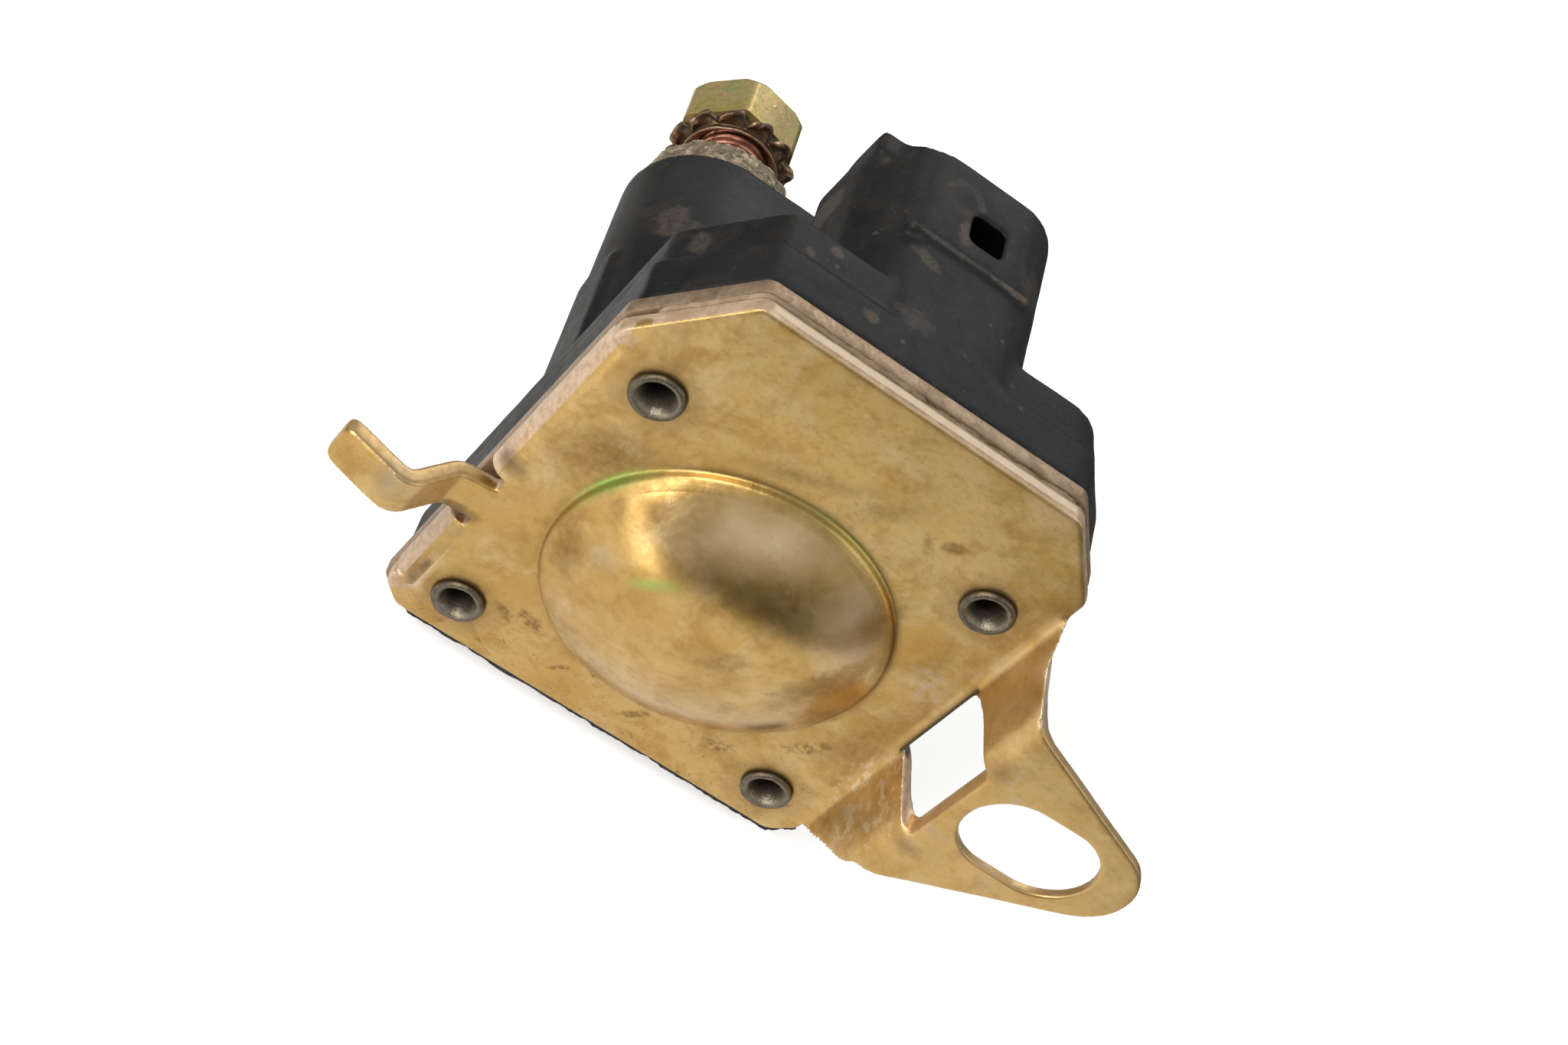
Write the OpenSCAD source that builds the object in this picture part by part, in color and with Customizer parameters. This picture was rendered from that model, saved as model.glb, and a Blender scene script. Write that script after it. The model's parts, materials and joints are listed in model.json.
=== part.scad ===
// A starter solenoid: a black moulded body on a plated steel bracket, with two copper
// terminal studs and a two-way connector. The part lies on the flat back of its body.
// The modules are drawn standing, with +z from the bracket to the studs, and lay() turns
// each one down on its back.

/* [Rivet pattern] */
// Distance between rivet centres, the same both ways
rivet_pitch = 38.1; // [36:0.1:39]
// Radius of the rivet shank
rivet_r = 2.3; // [1.8:0.1:2.5]
// Radius of the hole down a rivet
rivet_bore_r = 1.35; // [1:0.05:1.5]
// Radius of the rivet head on the body
rivet_head_r = 3.7; // [3:0.1:4]
// Thickness of the rivet head
rivet_head_t = 1; // [0.6:0.1:1.5]
// Bevel round the rivet head
rivet_bevel = 0.5; // [0.2:0.1:0.8]
// Outer radius of the rolled end under the bracket
clinch_r = 2.8; // [2.6:0.1:3.2]
// Height of the rolled end
clinch_t = 0.7; // [0.4:0.1:1]

/* [Bracket plate] */
// Thickness of the bracket steel
bracket_t = 1.9; // [1.5:0.1:2.1]
// Distance from the axis to the turned-up edge
plate_left = 25.9; // [25:0.1:27]
// Distance from the axis to the edge with the ear
plate_right = 25.2; // [24.8:0.1:26]
// Distance from the axis to the edge under the connector
plate_front = 34.5; // [33:0.1:36]
// Distance from the axis to the far edge
plate_back = 24.8; // [23.5:0.1:25]
// Length of the slanted corner along the front edge
slant_w = 8.2; // [6:0.1:10]
// Length of the slanted corner along the turned-up edge
slant_d = 11.4; // [9:0.1:13]
// Length of the cut corner beside the ear, along the front edge
corner_w = 7; // [5:0.1:9]
// Length of the cut corner beside the ear, along the side
corner_d = 8.2; // [6:0.1:9]
// Size of the two small far corners
far_cut = 2.4; // [1.5:0.1:3.5]
// Radius that softens the plate corners
plate_round = 1.6; // [0.8:0.1:2.5]
// Inner radius of the turned-up edge
lip_in = 0.2; // [0.1:0.05:0.4]
// Clearance between the turned-up edge and the flux plate
lip_gap = 0.1; // [0.1:0.05:0.4]

/* [Domed cup] */
// Outer radius of the cup at the plate
dome_r = 17.7; // [16:0.1:18.5]
// Depth of the cup below the plate
dome_h = 6.5; // [5.5:0.1:7.5]
// Height of the straight step round the cup
dome_step = 0.8; // [0.4:0.1:1.2]

/* [Slotted ear] */
// Drop from the plate to the ear
ear_drop = 9; // [7:0.1:10]
// Offset of the round end to the front
ear_y = 3.9; // [2:0.1:6]
// Radius of the round end
ear_r = 6.5; // [6.2:0.1:8.5]
// Run of the bend from the plate to the ear
leg_run = 2.7; // [2.2:0.1:3.4]
// Mean radius of the ear's bends
leg_bend = 2.2; // [1.6:0.1:2.8]
// Front edge of the ear's root on the plate
root_front = 23.6; // [22:0.1:24]
// Far edge of the ear's root on the plate
root_back = 20.8; // [19:0.1:21.5]
// Front edge of the ear's leg, where it is narrowest
waist_front = 20.2; // [19.4:0.1:21]
// Far edge of the ear's leg, part way down
waist_back = 18; // [16:0.1:19]
// Front edge of the ear below the bend
foot_front = 18; // [16:0.1:19]
// Far edge of the ear below the bend
foot_back = 12.6; // [11:0.1:14]
// Width of the slot in the ear
slot_w = 11.2; // [9:0.1:11.5]
// Length of the slot in the ear
slot_l = 14.9; // [12:0.1:15]
// Offset of the slot to the front
slot_y = 3.3; // [2:0.1:4.5]
// Steel left beyond the outer end of the slot
slot_edge = 4.4; // [4:0.1:6]
// Width of the window between the plate and the ear
window_w = 3.6; // [3:0.1:4.5]
// Length of the window between the ear's legs
window_l = 13.2; // [11:0.1:14]
// Steel left between the window and the slot
window_edge = 1.7; // [1.2:0.1:2]
// Sideways lean of the window from plate to ear
window_lean = 2; // [0:0.1:3]
// Corner radius of the window
window_round = 0.9; // [0.5:0.1:1.2]
// Distance from the plate's edge to the start of the leg
leg_start = 0.5; // [0.2:0.1:1]
// Distance from the leg to the flat of the ear
leg_end = 0.4; // [0.2:0.1:1]

/* [Bent tab] */
// Offset of the tab from the axis
tab_y = 5.5; // [3:0.1:8]
// Width of the tab
tab_w = 5.2; // [4.5:0.1:8]
// Distance from the turned-up edge to the tab's first bend
tab_start = 1.9; // [1.5:0.1:2.5]
// Drop of the tab at its first bend
tab_sag = 0.5; // [0.2:0.1:1]
// Distance from the turned-up edge to the dip
tab_low = 6; // [5:0.1:7]
// Reach of the tab past the turned-up edge
tab_reach = 13.6; // [12:0.1:16]
// Depth of the dip in the tab
tab_dip = 5.5; // [4:0.1:6.5]
// Height of the tab's end above the dip
tab_rise = 2.4; // [1:0.1:3.5]
// Mean radius of the tab's bends
tab_bend = 2; // [1.5:0.1:2.4]
// Corner radius of the tab's end
tab_round = 1.2; // [0.8:0.1:1.8]
// Width of the relief notch on each side of the tab
notch_w = 1.5; // [0.8:0.1:2.5]

/* [Gasket and flux plate] */
// Thickness of the gasket
gasket_t = 0.8; // [0.5:0.1:1.2]
// Reach of the gasket past the far edge of the bracket
gasket_over = 2.3; // [1:0.1:3]
// Reach of the gasket past the edge with the ear
gasket_side = 0.8; // [0.3:0.1:1.2]
// Thickness of the steel flux plate
flux_t = 1.8; // [1.2:0.1:2.2]
// Inset of the flux plate from the bracket and the gasket
flux_inset = 0.1; // [0.05:0.05:0.4]

/* [Moulded body] */
// Thickness of the body's flange
flange_t = 5.8; // [4.5:0.1:7]
// Height of the block on the flange
block_h = 5.3; // [4:0.1:8]
// Inset of the block from the flange
block_inset = 0.8; // [0.6:0.1:1.5]
// Inset of the flange from the turned-up edge
flange_inset = 0.7; // [0.4:0.1:1.2]
// Inset of the flange and shroud from the bracket's front edge
front_inset = 0.4; // [0.2:0.1:0.8]
// Inset of the flange from the slanted corners
slant_inset = 0.2; // [0.1:0.1:0.6]
// Corner radius of the flange beside the ear
flange_round = 4.5; // [3:0.1:5.5]
// Wall thickness round the coil
bay_wall = 2; // [1.5:0.1:2.4]
// Clearance between the yoke and the wall round it
bay_gap = 0.44; // [0.2:0.02:0.7]
// Distance from the axis to the flat back
back_y = 29; // [27.5:0.1:31]
// Clearance between the rivet heads and the box behind the coil
head_room = 0.35; // [0.2:0.05:1]
// Height of the terminal tower above the coil's can
tower_h = 19.5; // [18.5:0.1:22]
// Radius of the tower's round ends
tower_r = 9.6; // [9.2:0.1:10]
// Wall thickness round the contact chamber
tower_wall = 2.3; // [1.6:0.1:2.6]
// Thickness of the tower's top
tower_cap = 4; // [3:0.1:4.5]
// Half width of the rib down each end of the tower
rib_w = 3.5; // [2.5:0.1:4.5]
// Height of the ribs above the coil's can
rib_up = 3.5; // [1:0.1:6]

/* [Connector] */
// Distance from the axis to the shroud's side by the turned-up edge
shroud_left = 10.5; // [9.5:0.1:11]
// Distance from the axis to the shroud's other side
shroud_right = 11.4; // [10:0.1:12]
// Depth of the shroud, front to back
shroud_d = 16; // [14:0.1:16.5]
// Height of the shroud's rim
shroud_top = 36.4; // [34:0.1:39]
// Height of the shroud's floor
shroud_floor = 18; // [17:0.1:20]
// Wall thickness of the shroud
shroud_wall = 1.8; // [1.4:0.1:2.2]
// Corner radius of the shroud by the turned-up edge
shroud_round_a = 8.2; // [6:0.1:8.6]
// Corner radius of the shroud on the other side
shroud_round_b = 6.2; // [5:0.1:8]
// Corner radius of the shroud's two far corners
shroud_round_c = 2.2; // [1.5:0.1:3]
// Width of the ridge and groove across the shroud's front
ridge_w = 14.2; // [12:0.1:15]
// Sideways place of the middle of the ridge
ridge_x = 0.8; // [0:0.1:1.5]
// Height of the underside of the ridge
ridge_z = 22.5; // [21:0.1:24]
// Height of the ridge
ridge_h = 1; // [0.6:0.1:1.4]
// Depth of the ridge
ridge_out = 0.35; // [0.2:0.05:0.6]
// Height of the groove above the ridge
groove_h = 0.7; // [0.5:0.1:1]
// Depth of the groove
groove_d = 0.6; // [0.3:0.1:0.9]
// Width of the square lug on the rim
lug_w = 2.5; // [2:0.1:3]
// Length of the lug along the shroud's side
lug_l = 6; // [4:0.1:7]
// Height of the lug
lug_h = 3.6; // [2.5:0.1:4.5]
// Reach of the lug above the rim
lug_up = 0.6; // [0.3:0.1:1]
// Distance from the shroud's front to the lug
lug_back = 2.6; // [2:0.1:4]
// Width of a connector blade
blade_w = 6.3; // [4.8:0.1:6.5]
// Thickness of a connector blade
blade_t = 0.8; // [0.6:0.1:1]
// Distance between the two blades
blade_pitch = 9; // [8.5:0.1:9.5]
// Depth of a blade's foot under the shroud's floor
blade_seat = 4.5; // [4.2:0.1:5.5]
// Height of a blade's foot
blade_foot = 4; // [3:0.1:4.2]
// Reach of a blade's foot into the space for the coil
blade_reach = 1.2; // [0.8:0.1:1.6]
// Size of the bevels on a blade's tip
blade_bevel = 1.4; // [0.8:0.1:2]
// Height of a blade's tip
blade_tip = 31.5; // [28:0.1:33]
// Sideways place of the latch window
latch_x = 2.1; // [1:0.1:3]
// Width of the latch window
latch_w = 3.8; // [3:0.1:5]
// Height of the latch window
latch_h = 4; // [3:0.1:5]
// Height of the latch window's centre
latch_z = 28.3; // [26:0.1:31]
// Depth of the latch window
latch_d = 3.4; // [3:0.1:4]
// Thickness of the rib's walls beside and behind the latch window
latch_wall = 0.6; // [0.4:0.1:0.8]
// Height of the rib above the latch window
latch_up = 2; // [1:0.1:3]

/* [Terminal studs] */
// Distance between the two studs
stud_pitch = 28.6; // [28:0.1:30]
// Radius of the studs
stud_r = 3.97; // [3.5:0.01:4.2]
// Length of stud beyond the nut
stud_show = 2.2; // [1.5:0.1:6]
// Bevel at a stud's end
stud_bevel = 0.7; // [0.4:0.1:1.2]
// Radius of the contact head inside
head_r = 6; // [5:0.1:6.8]
// Thickness of the contact head
head_t = 3.5; // [2.5:0.1:4]
// Radius of the collar on the tower
collar_r = 8.4; // [7:0.1:8.8]
// Thickness of the collar
collar_t = 4.2; // [3:0.1:4.6]
// Free length of stud between collar and washer
stud_free = 4.8; // [4.5:0.1:6]
// Outer radius of the toothed washer
washer_r = 7.4; // [6.8:0.1:8]
// Radius of the washer's lower lip
washer_lip_r = 5.6; // [5.2:0.1:5.8]
// Height of the toothed washer
washer_h = 2.8; // [2:0.1:3]
// Thickness of the washer's sheet
washer_t = 0.7; // [0.4:0.1:0.9]
// Clearance of the toothed washer round the stud
washer_gap = 0.24; // [0.1:0.02:0.3]
// Width of the gaps between the washer's teeth
tooth_gap = 1.1; // [0.7:0.1:1.4]
// Number of teeth on the washer
tooth_count = 12; // [8:1:16]
// Width of the nut across its flats
nut_flats = 12.7; // [12:0.1:14]
// Height of the nut
nut_h = 6; // [5:0.1:6.8]
// Size of the bevel on the nut's corners
nut_bevel = 1.05; // [0.6:0.05:1.4]
// Clearance of the nuts round the studs
thread_gap = 0.06; // [0.03:0.01:0.09]
// Angle that the nut stands turned by
nut_turn = 11.3; // [0:0.1:60]

/* [Coil and yoke] */
// Thickness of the yoke steel
yoke_t = 1.7; // [1.4:0.1:1.8]
// Width of the yoke strap
yoke_w = 12; // [9:0.1:12.5]
// Inner height of the yoke
yoke_h = 19.5; // [18.5:0.1:19.8]
// Radius of the coil bobbin's flanges
bobbin_r = 14.4; // [13.5:0.1:14.6]
// Thickness of the bobbin's walls
bobbin_wall = 0.9; // [0.7:0.1:1.2]
// Inset of the winding from the bobbin's flanges
winding_in = 0.8; // [0.4:0.1:2]
// Radius of the core's spigot through the yoke
spigot_r = 4.5; // [4.2:0.1:5]
// Reach of the spigot above the yoke
spigot_up = 0.6; // [0.3:0.1:1]
// Radius of the lead wires
lead_r = 0.5; // [0.4:0.05:0.6]

/* [Plunger] */
// Radius of the plunger and of the fixed core
plunger_r = 6.45; // [5.8:0.05:6.6]
// Length of the plunger
plunger_l = 15.6; // [14:0.1:16]
// Bevel round the plunger's outer end
plunger_bevel = 0.8; // [0.4:0.1:1.2]
// Travel of the plunger
stroke = 2.8; // [2:0.1:3]
// Running clearance of the plunger in its guide tube
plunger_gap = 0.15; // [0.1:0.01:0.2]
// Wall thickness of the guide tube
guide_wall = 0.45; // [0.3:0.05:0.6]
// Clearance between the plunger and the cup at rest
plunger_clear = 0.5; // [0.3:0.1:1]
// Air left between plunger and core at the end of the travel
stop_gap = 0.2; // [0.1:0.05:0.4]
// Distance from the flux plate's underside to the tube's end
guide_up = 0.2; // [0.1:0.05:0.5]
// Radius of the push rod
rod_r = 1.5; // [1.3:0.05:1.6]
// Height of the rod's end inside the plunger
rod_foot = 4; // [3:0.1:6]
// Depth of the clip's groove in the rod
rod_groove = 0.4; // [0.2:0.05:0.6]
// Length of rod beyond the clip
rod_tip = 1; // [0.6:0.1:1.6]
// Radius of the spring's pocket in plunger and core
pocket_r = 3.9; // [3.7:0.1:4.2]
// Depth of the spring's pocket in the plunger
pocket_d = 6; // [5:0.1:7]
// Depth of the spring's pocket in the core
core_pocket = 2.4; // [1.5:0.1:3]
// Radius of the return spring, to the middle of its wire
spring_r = 2.8; // [2.6:0.05:3]
// Radius of the spring wire
wire_r = 0.35; // [0.25:0.05:0.4]
// Number of turns of the return spring
return_turns = 7; // [5:1:8]

/* [Moving contact] */
// Length of the contact bar
bar_l = 33; // [30:0.1:35]
// Width of the contact bar
bar_w = 9; // [7:0.1:10]
// Thickness of the contact bar
bar_t = 2; // [1.5:0.1:2.5]
// Corner radius of the contact bar
bar_round = 1.5; // [0.8:0.1:2.5]
// Gap between the contact bar and the stud heads at rest
contact_gap = 2; // [1.5:0.1:2]
// Radius of the insulating bush's flange
bush_r = 4; // [3.5:0.1:4.2]
// Thickness of the insulating bush's flange
bush_t = 1.4; // [1:0.1:1.8]
// Radius of the rod's spring seat
seat_r = 4; // [3.5:0.1:4.2]
// Thickness of the rod's spring seat
seat_t = 0.8; // [0.6:0.1:1.2]
// Clearance between the rod's spring seat and the core
seat_gap = 0.6; // [0.3:0.1:1]
// Wall thickness of the bush's sleeve
sleeve_wall = 0.9; // [0.7:0.1:1.2]
// Thickness of the retaining clip
clip_t = 0.8; // [0.6:0.1:1]
// Radius of the retaining clip
clip_r = 3; // [2.6:0.1:3.3]
// Number of turns of the contact spring
contact_turns = 4; // [3:1:5]

/* [Hidden] */
$fn = 64;

// Small amounts that keep cutters clear of faces, and fits between fixed pieces
cut = 1;
fit = 0.05;
loose = 0.3;
edge_gap = 0.3;
arc_steps = 6;
wire_sides = 6;
wire_rings = 12;

// Levels along the plunger's axis, from the underside of the bracket
gasket_z = bracket_t;
flux_z = gasket_z + gasket_t;
body_z = flux_z + flux_t;
block_z = body_z + flange_t;
block_top = block_z + block_h;
yoke_top = body_z + yoke_h;
bay_top = yoke_top + yoke_t;
bay_roof = bay_top + loose + bay_wall;
tower_top = bay_roof + tower_h;
rib_top = bay_roof + rib_up;
cap_z = tower_top - tower_cap;
head_z = cap_z - head_t;
bar_z = head_z - contact_gap - bar_t;
bush_z = bar_z - bush_t;
bush_end = bar_z + bar_t + loose;
clip_z = bush_end;
rod_top = clip_z + clip_t + rod_tip;
collar_top = tower_top + collar_t;
washer_z = collar_top + stud_free;
nut_z = washer_z + washer_h;
stud_top = nut_z + nut_h + stud_show;

// Plunger and core
dome_ball = (dome_r * dome_r + pow(dome_h - dome_step, 2)) / (2 * (dome_h - dome_step));
dome_centre = dome_ball - dome_h;
dome_inner = dome_ball - bracket_t;
plunger_z = dome_centre - sqrt(pow(dome_inner, 2) - pow(plunger_r, 2)) + plunger_clear;
plunger_top = plunger_z + plunger_l;
core_z = plunger_top + stroke + stop_gap;
guide_in = plunger_r + plunger_gap;
guide_out = guide_in + guide_wall;
guide_z = flux_z + guide_up;
rod_gap = 0.08;
rod_z = plunger_z + rod_foot;
groove_r = rod_r - rod_groove;
seat_z = bay_top + spigot_up + seat_gap;
spring_lo = plunger_top - pocket_d + fit;
spring_hi = core_z + core_pocket - fit;
sleeve_r = rod_r + rod_gap + sleeve_wall;
bobbin_z = body_z + loose;
bobbin_top = yoke_top - loose;
winding_r = bobbin_r - winding_in;
winding_hub = guide_out + fit + bobbin_wall;
yoke_half = bobbin_r + loose;
bay_r = norm([yoke_half + yoke_t, yoke_w / 2]) + bay_gap;

// Edges of the bracket, and places of its holes, the studs and the blades
lip_r = bracket_t + lip_in;
lip_h = flux_z - lip_gap;
slot_start = plate_right + window_w + window_edge;
slot_end = slot_start + slot_l;
ear_x = slot_end + slot_edge - ear_r;
back_w = rivet_pitch / 2 - rivet_head_r - head_room;
shroud_front = plate_front - front_inset;
shroud_back = plate_front - shroud_d;
rivet_at = [for (x = [-1, 1], y = [-1, 1]) [x, y] * rivet_pitch / 2];
stud_x = stud_pitch / 2;
lip_start = -plate_front + slant_d + plate_round;
lip_end = plate_back - far_cut - plate_round;
shroud_mid = (shroud_right - shroud_left) / 2;
blade_y = -plate_front + shroud_d / 2;
blade_root = shroud_floor - blade_seat;
rest_z = (body_z + bay_roof) / 2;

// The outline of a sheet on the plate's own slanted corners, which move in by a margin
function slant_at_side(side, edge, w, d, m) =
    -plate_front + d - (side - edge) * d / w + m * norm([w, d]) / w;
function slant_at_front(side, front, w, d, m) =
    side - w + (plate_front - front) * w / d - m * norm([w, d]) / d;
function plate_points(left, right, front, back, m) = [
    [-left, slant_at_side(plate_left, left, slant_w, slant_d, m)],
    [-slant_at_front(plate_left, front, slant_w, slant_d, m), -front],
    [slant_at_front(plate_right, front, corner_w, corner_d, m), -front],
    [right, slant_at_side(plate_right, right, corner_w, corner_d, m)],
    [right, back - far_cut], [right - far_cut, back],
    [-left + far_cut, back], [-left, back - far_cut]];

// Points of an arc that rounds the corner b between a and c
function unit(v) = v / norm(v);
function turn_of(a, b) = (b - a) - 360 * round((b - a) / 360);
function corner(a, b, c, r) =
    let (u = unit(a - b), v = unit(c - b), half = acos(u * v) / 2)
    let (mid = b + unit(u + v) * r / sin(half), s = b + u * r / tan(half) - mid)
    let (e = b + v * r / tan(half) - mid, a0 = atan2(s.y, s.x))
    let (sweep = turn_of(a0, atan2(e.y, e.x)))
    [for (i = [0:arc_steps]) mid + r * [cos(a0 + sweep * i / arc_steps),
        sin(a0 + sweep * i / arc_steps)]];
function rounded(p, r) = [for (i = [0:len(p) - 1])
    each corner(p[(i + len(p) - 1) % len(p)], p[i], p[(i + 1) % len(p)],
        is_list(r) ? r[i] : r)];

// The outline of a bent strip, t thick, along a path with corners rounded by r
function path_arcs(p, r) = concat([p[0]],
    [for (i = [1:len(p) - 2]) each corner(p[i - 1], p[i], p[i + 1], r)], [p[len(p) - 1]]);
function heading(p, i) = unit(p[min(i + 1, len(p) - 1)] - p[max(i - 1, 0)]);
function side_points(p, d) = [for (i = [0:len(p) - 1])
    p[i] + d * [-heading(p, i).y, heading(p, i).x]];
function reversed(p) = [for (i = [len(p) - 1:-1:0]) p[i]];
function strip_outline(p, r, t) =
    let (q = path_arcs(p, r)) concat(side_points(q, t / 2), reversed(side_points(q, -t / 2)));

// Angle at which the line from p touches a circle, on the side given by s
function touch(p, c, r, s) = atan2(p.y - c.y, p.x - c.x) + s * acos(r / norm(p - c));

module lay() {
    translate([0, -rest_z, back_y]) rotate([-90, 0, 0]) children();
}

module plate_sheet(points, r, z, t) {
    translate([0, 0, z]) linear_extrude(t) polygon(rounded(points, r));
}

module rivet_holes(r, z, t) {
    for (p = rivet_at) translate([p.x, p.y, z]) cylinder(r = r, h = t);
}

// A strip bent in the x-z plane and extruded along y
module bent_strip(path, r, t, y0, y1) {
    translate([0, y1, 0]) rotate([90, 0, 0])
        linear_extrude(y1 - y0) polygon(strip_outline(path, r, t));
}

module stadium(half, r, z, t) {
    for (x = [-half, half]) translate([x, 0, z]) cylinder(r = r, h = t);
    translate([-half, -r, z]) cube([2 * half, 2 * r, t]);
}

// A spring of round wire, as one tube swept along its turns
function coil_ring(c, a, rise, w) = [for (k = [0:wire_sides - 1])
    let (b = 360 * k / wire_sides)
    [(c + w * cos(b)) * cos(a), (c + w * cos(b)) * sin(a), rise + w * sin(b)]];
module coil_spring(r, w, z0, z1, turns) {
    rings = turns * wire_rings;
    lift = (z1 - z0 - 2 * w) / rings;
    points = [for (i = [0:rings]) each coil_ring(r, 360 * i / wire_rings,
        z0 + w + lift * i, w)];
    walls = [for (i = [0:rings - 1], k = [0:wire_sides - 1])
        let (a = i * wire_sides + k, b = i * wire_sides + (k + 1) % wire_sides)
        each [[a, b, b + wire_sides], [a, b + wire_sides, a + wire_sides]]];
    last = rings * wire_sides;
    ends = [for (k = [1:wire_sides - 2]) each [[0, k + 1, k],
        [last, last + k, last + k + 1]]];
    polyhedron(points, concat(walls, ends));
}

// Bracket: plate, cup, turned-up edge, tab and ear, pressed from one sheet
module dome_shell() {
    inner_r = dome_r - bracket_t;
    outer_a = asin(dome_r / dome_ball);
    inner_a = asin(inner_r / dome_inner);
    steps = 10;
    outer = [for (i = [0:steps]) let (a = outer_a * i / steps)
        [dome_ball * sin(a), dome_centre - dome_ball * cos(a)]];
    inner = [for (i = [steps:-1:0]) let (a = inner_a * i / steps)
        [dome_inner * sin(a), dome_centre - dome_inner * cos(a)]];
    rotate_extrude() polygon(concat(outer, [[dome_r, bracket_t], [inner_r, bracket_t]], inner));
}

module turned_edge() {
    inner_r = lip_r - bracket_t;
    x = -plate_left + lip_r;
    bend = [for (i = [0:arc_steps]) let (a = 270 - 90 * i / arc_steps)
        [x + lip_r * cos(a), lip_r + lip_r * sin(a)]];
    inside = [for (i = [arc_steps:-1:0]) let (a = 270 - 90 * i / arc_steps)
        [x + inner_r * cos(a), lip_r + inner_r * sin(a)]];
    translate([0, lip_end, 0]) rotate([90, 0, 0]) linear_extrude(lip_end - lip_start)
        polygon(concat(bend, [[-plate_left, lip_h], [-plate_left + bracket_t, lip_h]], inside));
}

module tab() {
    mid = bracket_t / 2;
    x = -plate_left;
    path = [[x + lip_r + cut, mid], [x - tab_start, mid - tab_sag],
        [x - tab_low, mid - tab_dip],
        [x - tab_reach, mid - tab_dip + tab_rise]];
    intersection() {
        bent_strip(path, tab_bend, bracket_t, tab_y - tab_w / 2, tab_y + tab_w / 2);
        translate([0, 0, -ear_drop]) linear_extrude(2 * ear_drop) polygon(rounded([
            [x - tab_reach, tab_y - tab_w / 2], [x - tab_reach, tab_y + tab_w / 2],
            [0, tab_y + tab_w / 2], [0, tab_y - tab_w / 2]],
            [tab_round, tab_round, fit, fit]));
    }
}

module ear() {
    mid = bracket_t / 2;
    foot_x = plate_right + leg_run;
    waist_x = plate_right + leg_run / 3;
    tip = [ear_x, -ear_y];
    a0 = touch([foot_x, -foot_front], tip, ear_r, 1);
    a1 = touch([foot_x, foot_back], tip, ear_r, -1);
    tip_steps = 16;
    tip_arc = [for (i = [0:tip_steps]) let (a = a0 + (a1 - a0) * i / tip_steps)
        tip + ear_r * [cos(a), sin(a)]];
    window_x = plate_right + window_w;
    window_front = -ear_y - window_l / 2;
    root_x = plate_right - 2 * bracket_t;
    path = [[root_x - leg_bend, mid], [plate_right + leg_start, mid],
        [foot_x + leg_end, mid - ear_drop], [ear_x + 2 * ear_r, mid - ear_drop]];
    difference() {
        intersection() {
            bent_strip(path, leg_bend, bracket_t, -root_front - cut, root_back + cut);
            translate([0, 0, -2 * ear_drop]) linear_extrude(4 * ear_drop) polygon(concat(
                [[root_x, root_back], [root_x, -root_front],
                [plate_right, -root_front], [waist_x, -waist_front],
                [foot_x, -foot_front]], tip_arc,
                [[foot_x, foot_back], [waist_x, waist_back], [plate_right, root_back]]));
        }
        translate([0, 0, -2 * ear_drop]) linear_extrude(4 * ear_drop) polygon(rounded([
            [plate_right, window_front], [window_x, window_front + window_lean],
            [window_x, window_front + window_l + window_lean],
            [plate_right, window_front + window_l]], window_round));
        hull() for (x = [slot_start, slot_end])
            translate([x + (x < ear_x ? 1 : -1) * slot_w / 2, -slot_y, -2 * ear_drop])
                cylinder(r = slot_w / 2, h = 4 * ear_drop);
    }
}

module base_bracket() {
    inner_r = dome_r - bracket_t;
    color("goldenrod") lay() difference() {
        union() {
            difference() {
                plate_sheet(plate_points(plate_left, plate_right, plate_front, plate_back,
                    0), plate_round, 0, bracket_t);
                translate([-plate_left - cut, lip_start, -cut])
                    cube([lip_r + cut, lip_end - lip_start, bracket_t + 2 * cut]);
                translate([0, 0, -cut]) cylinder(r = (dome_r + inner_r) / 2,
                    h = bracket_t + 2 * cut);
            }
            dome_shell();
            difference() {
                turned_edge();
                translate([-plate_left - cut, tab_y - tab_w / 2 - notch_w, -cut])
                    cube([lip_r + 2 * cut, tab_w + 2 * notch_w, lip_h + 2 * cut]);
            }
            tab();
            ear();
        }
        rivet_holes(rivet_r + fit, -cut, bracket_t + 2 * cut);
    }
}

// Four hollow rivets: head on the body, rolled end under the bracket
module rivets() {
    stack = block_top + rivet_head_t;
    bulge = clinch_t / 2;
    color("dimgray") lay() for (p = rivet_at) translate([p.x, p.y, 0]) rotate_extrude()
        polygon(concat([[rivet_bore_r, -clinch_t]],
            [for (i = [0:arc_steps]) let (a = -90 + 180 * i / arc_steps)
                [clinch_r - bulge + bulge * cos(a), -bulge + bulge * sin(a)]],
            [[rivet_r, 0], [rivet_r, block_top], [rivet_head_r, block_top],
            [rivet_head_r - rivet_bevel, stack], [rivet_bore_r, stack]]));
}

module gasket() {
    color("black") lay() difference() {
        plate_sheet(plate_points(plate_left - lip_r - edge_gap, plate_right + gasket_side,
            plate_front - edge_gap, plate_back + gasket_over, edge_gap), plate_round,
            gasket_z, gasket_t);
        translate([0, 0, gasket_z - cut]) cylinder(r = dome_r - bracket_t,
            h = gasket_t + 2 * cut);
        rivet_holes(rivet_r + fit, gasket_z - cut, gasket_t + 2 * cut);
    }
}

module flux_plate() {
    color("tan") lay() difference() {
        plate_sheet(plate_points(plate_left - flux_inset, plate_right,
            plate_front - flux_inset, plate_back + gasket_over - flux_inset, flux_inset),
            plate_round, flux_z, flux_t);
        translate([0, 0, flux_z - cut]) cylinder(r = guide_out + fit, h = flux_t + 2 * cut);
        rivet_holes(rivet_r + fit, flux_z - cut, flux_t + 2 * cut);
    }
}

// Moulded body: flange, block, coil can, tower, rear box and connector shroud
function shroud_points(w) = [[w - shroud_left, w - shroud_front],
    [shroud_right - w, w - shroud_front], [shroud_right - w, -shroud_back - w],
    [w - shroud_left, -shroud_back - w]];

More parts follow.
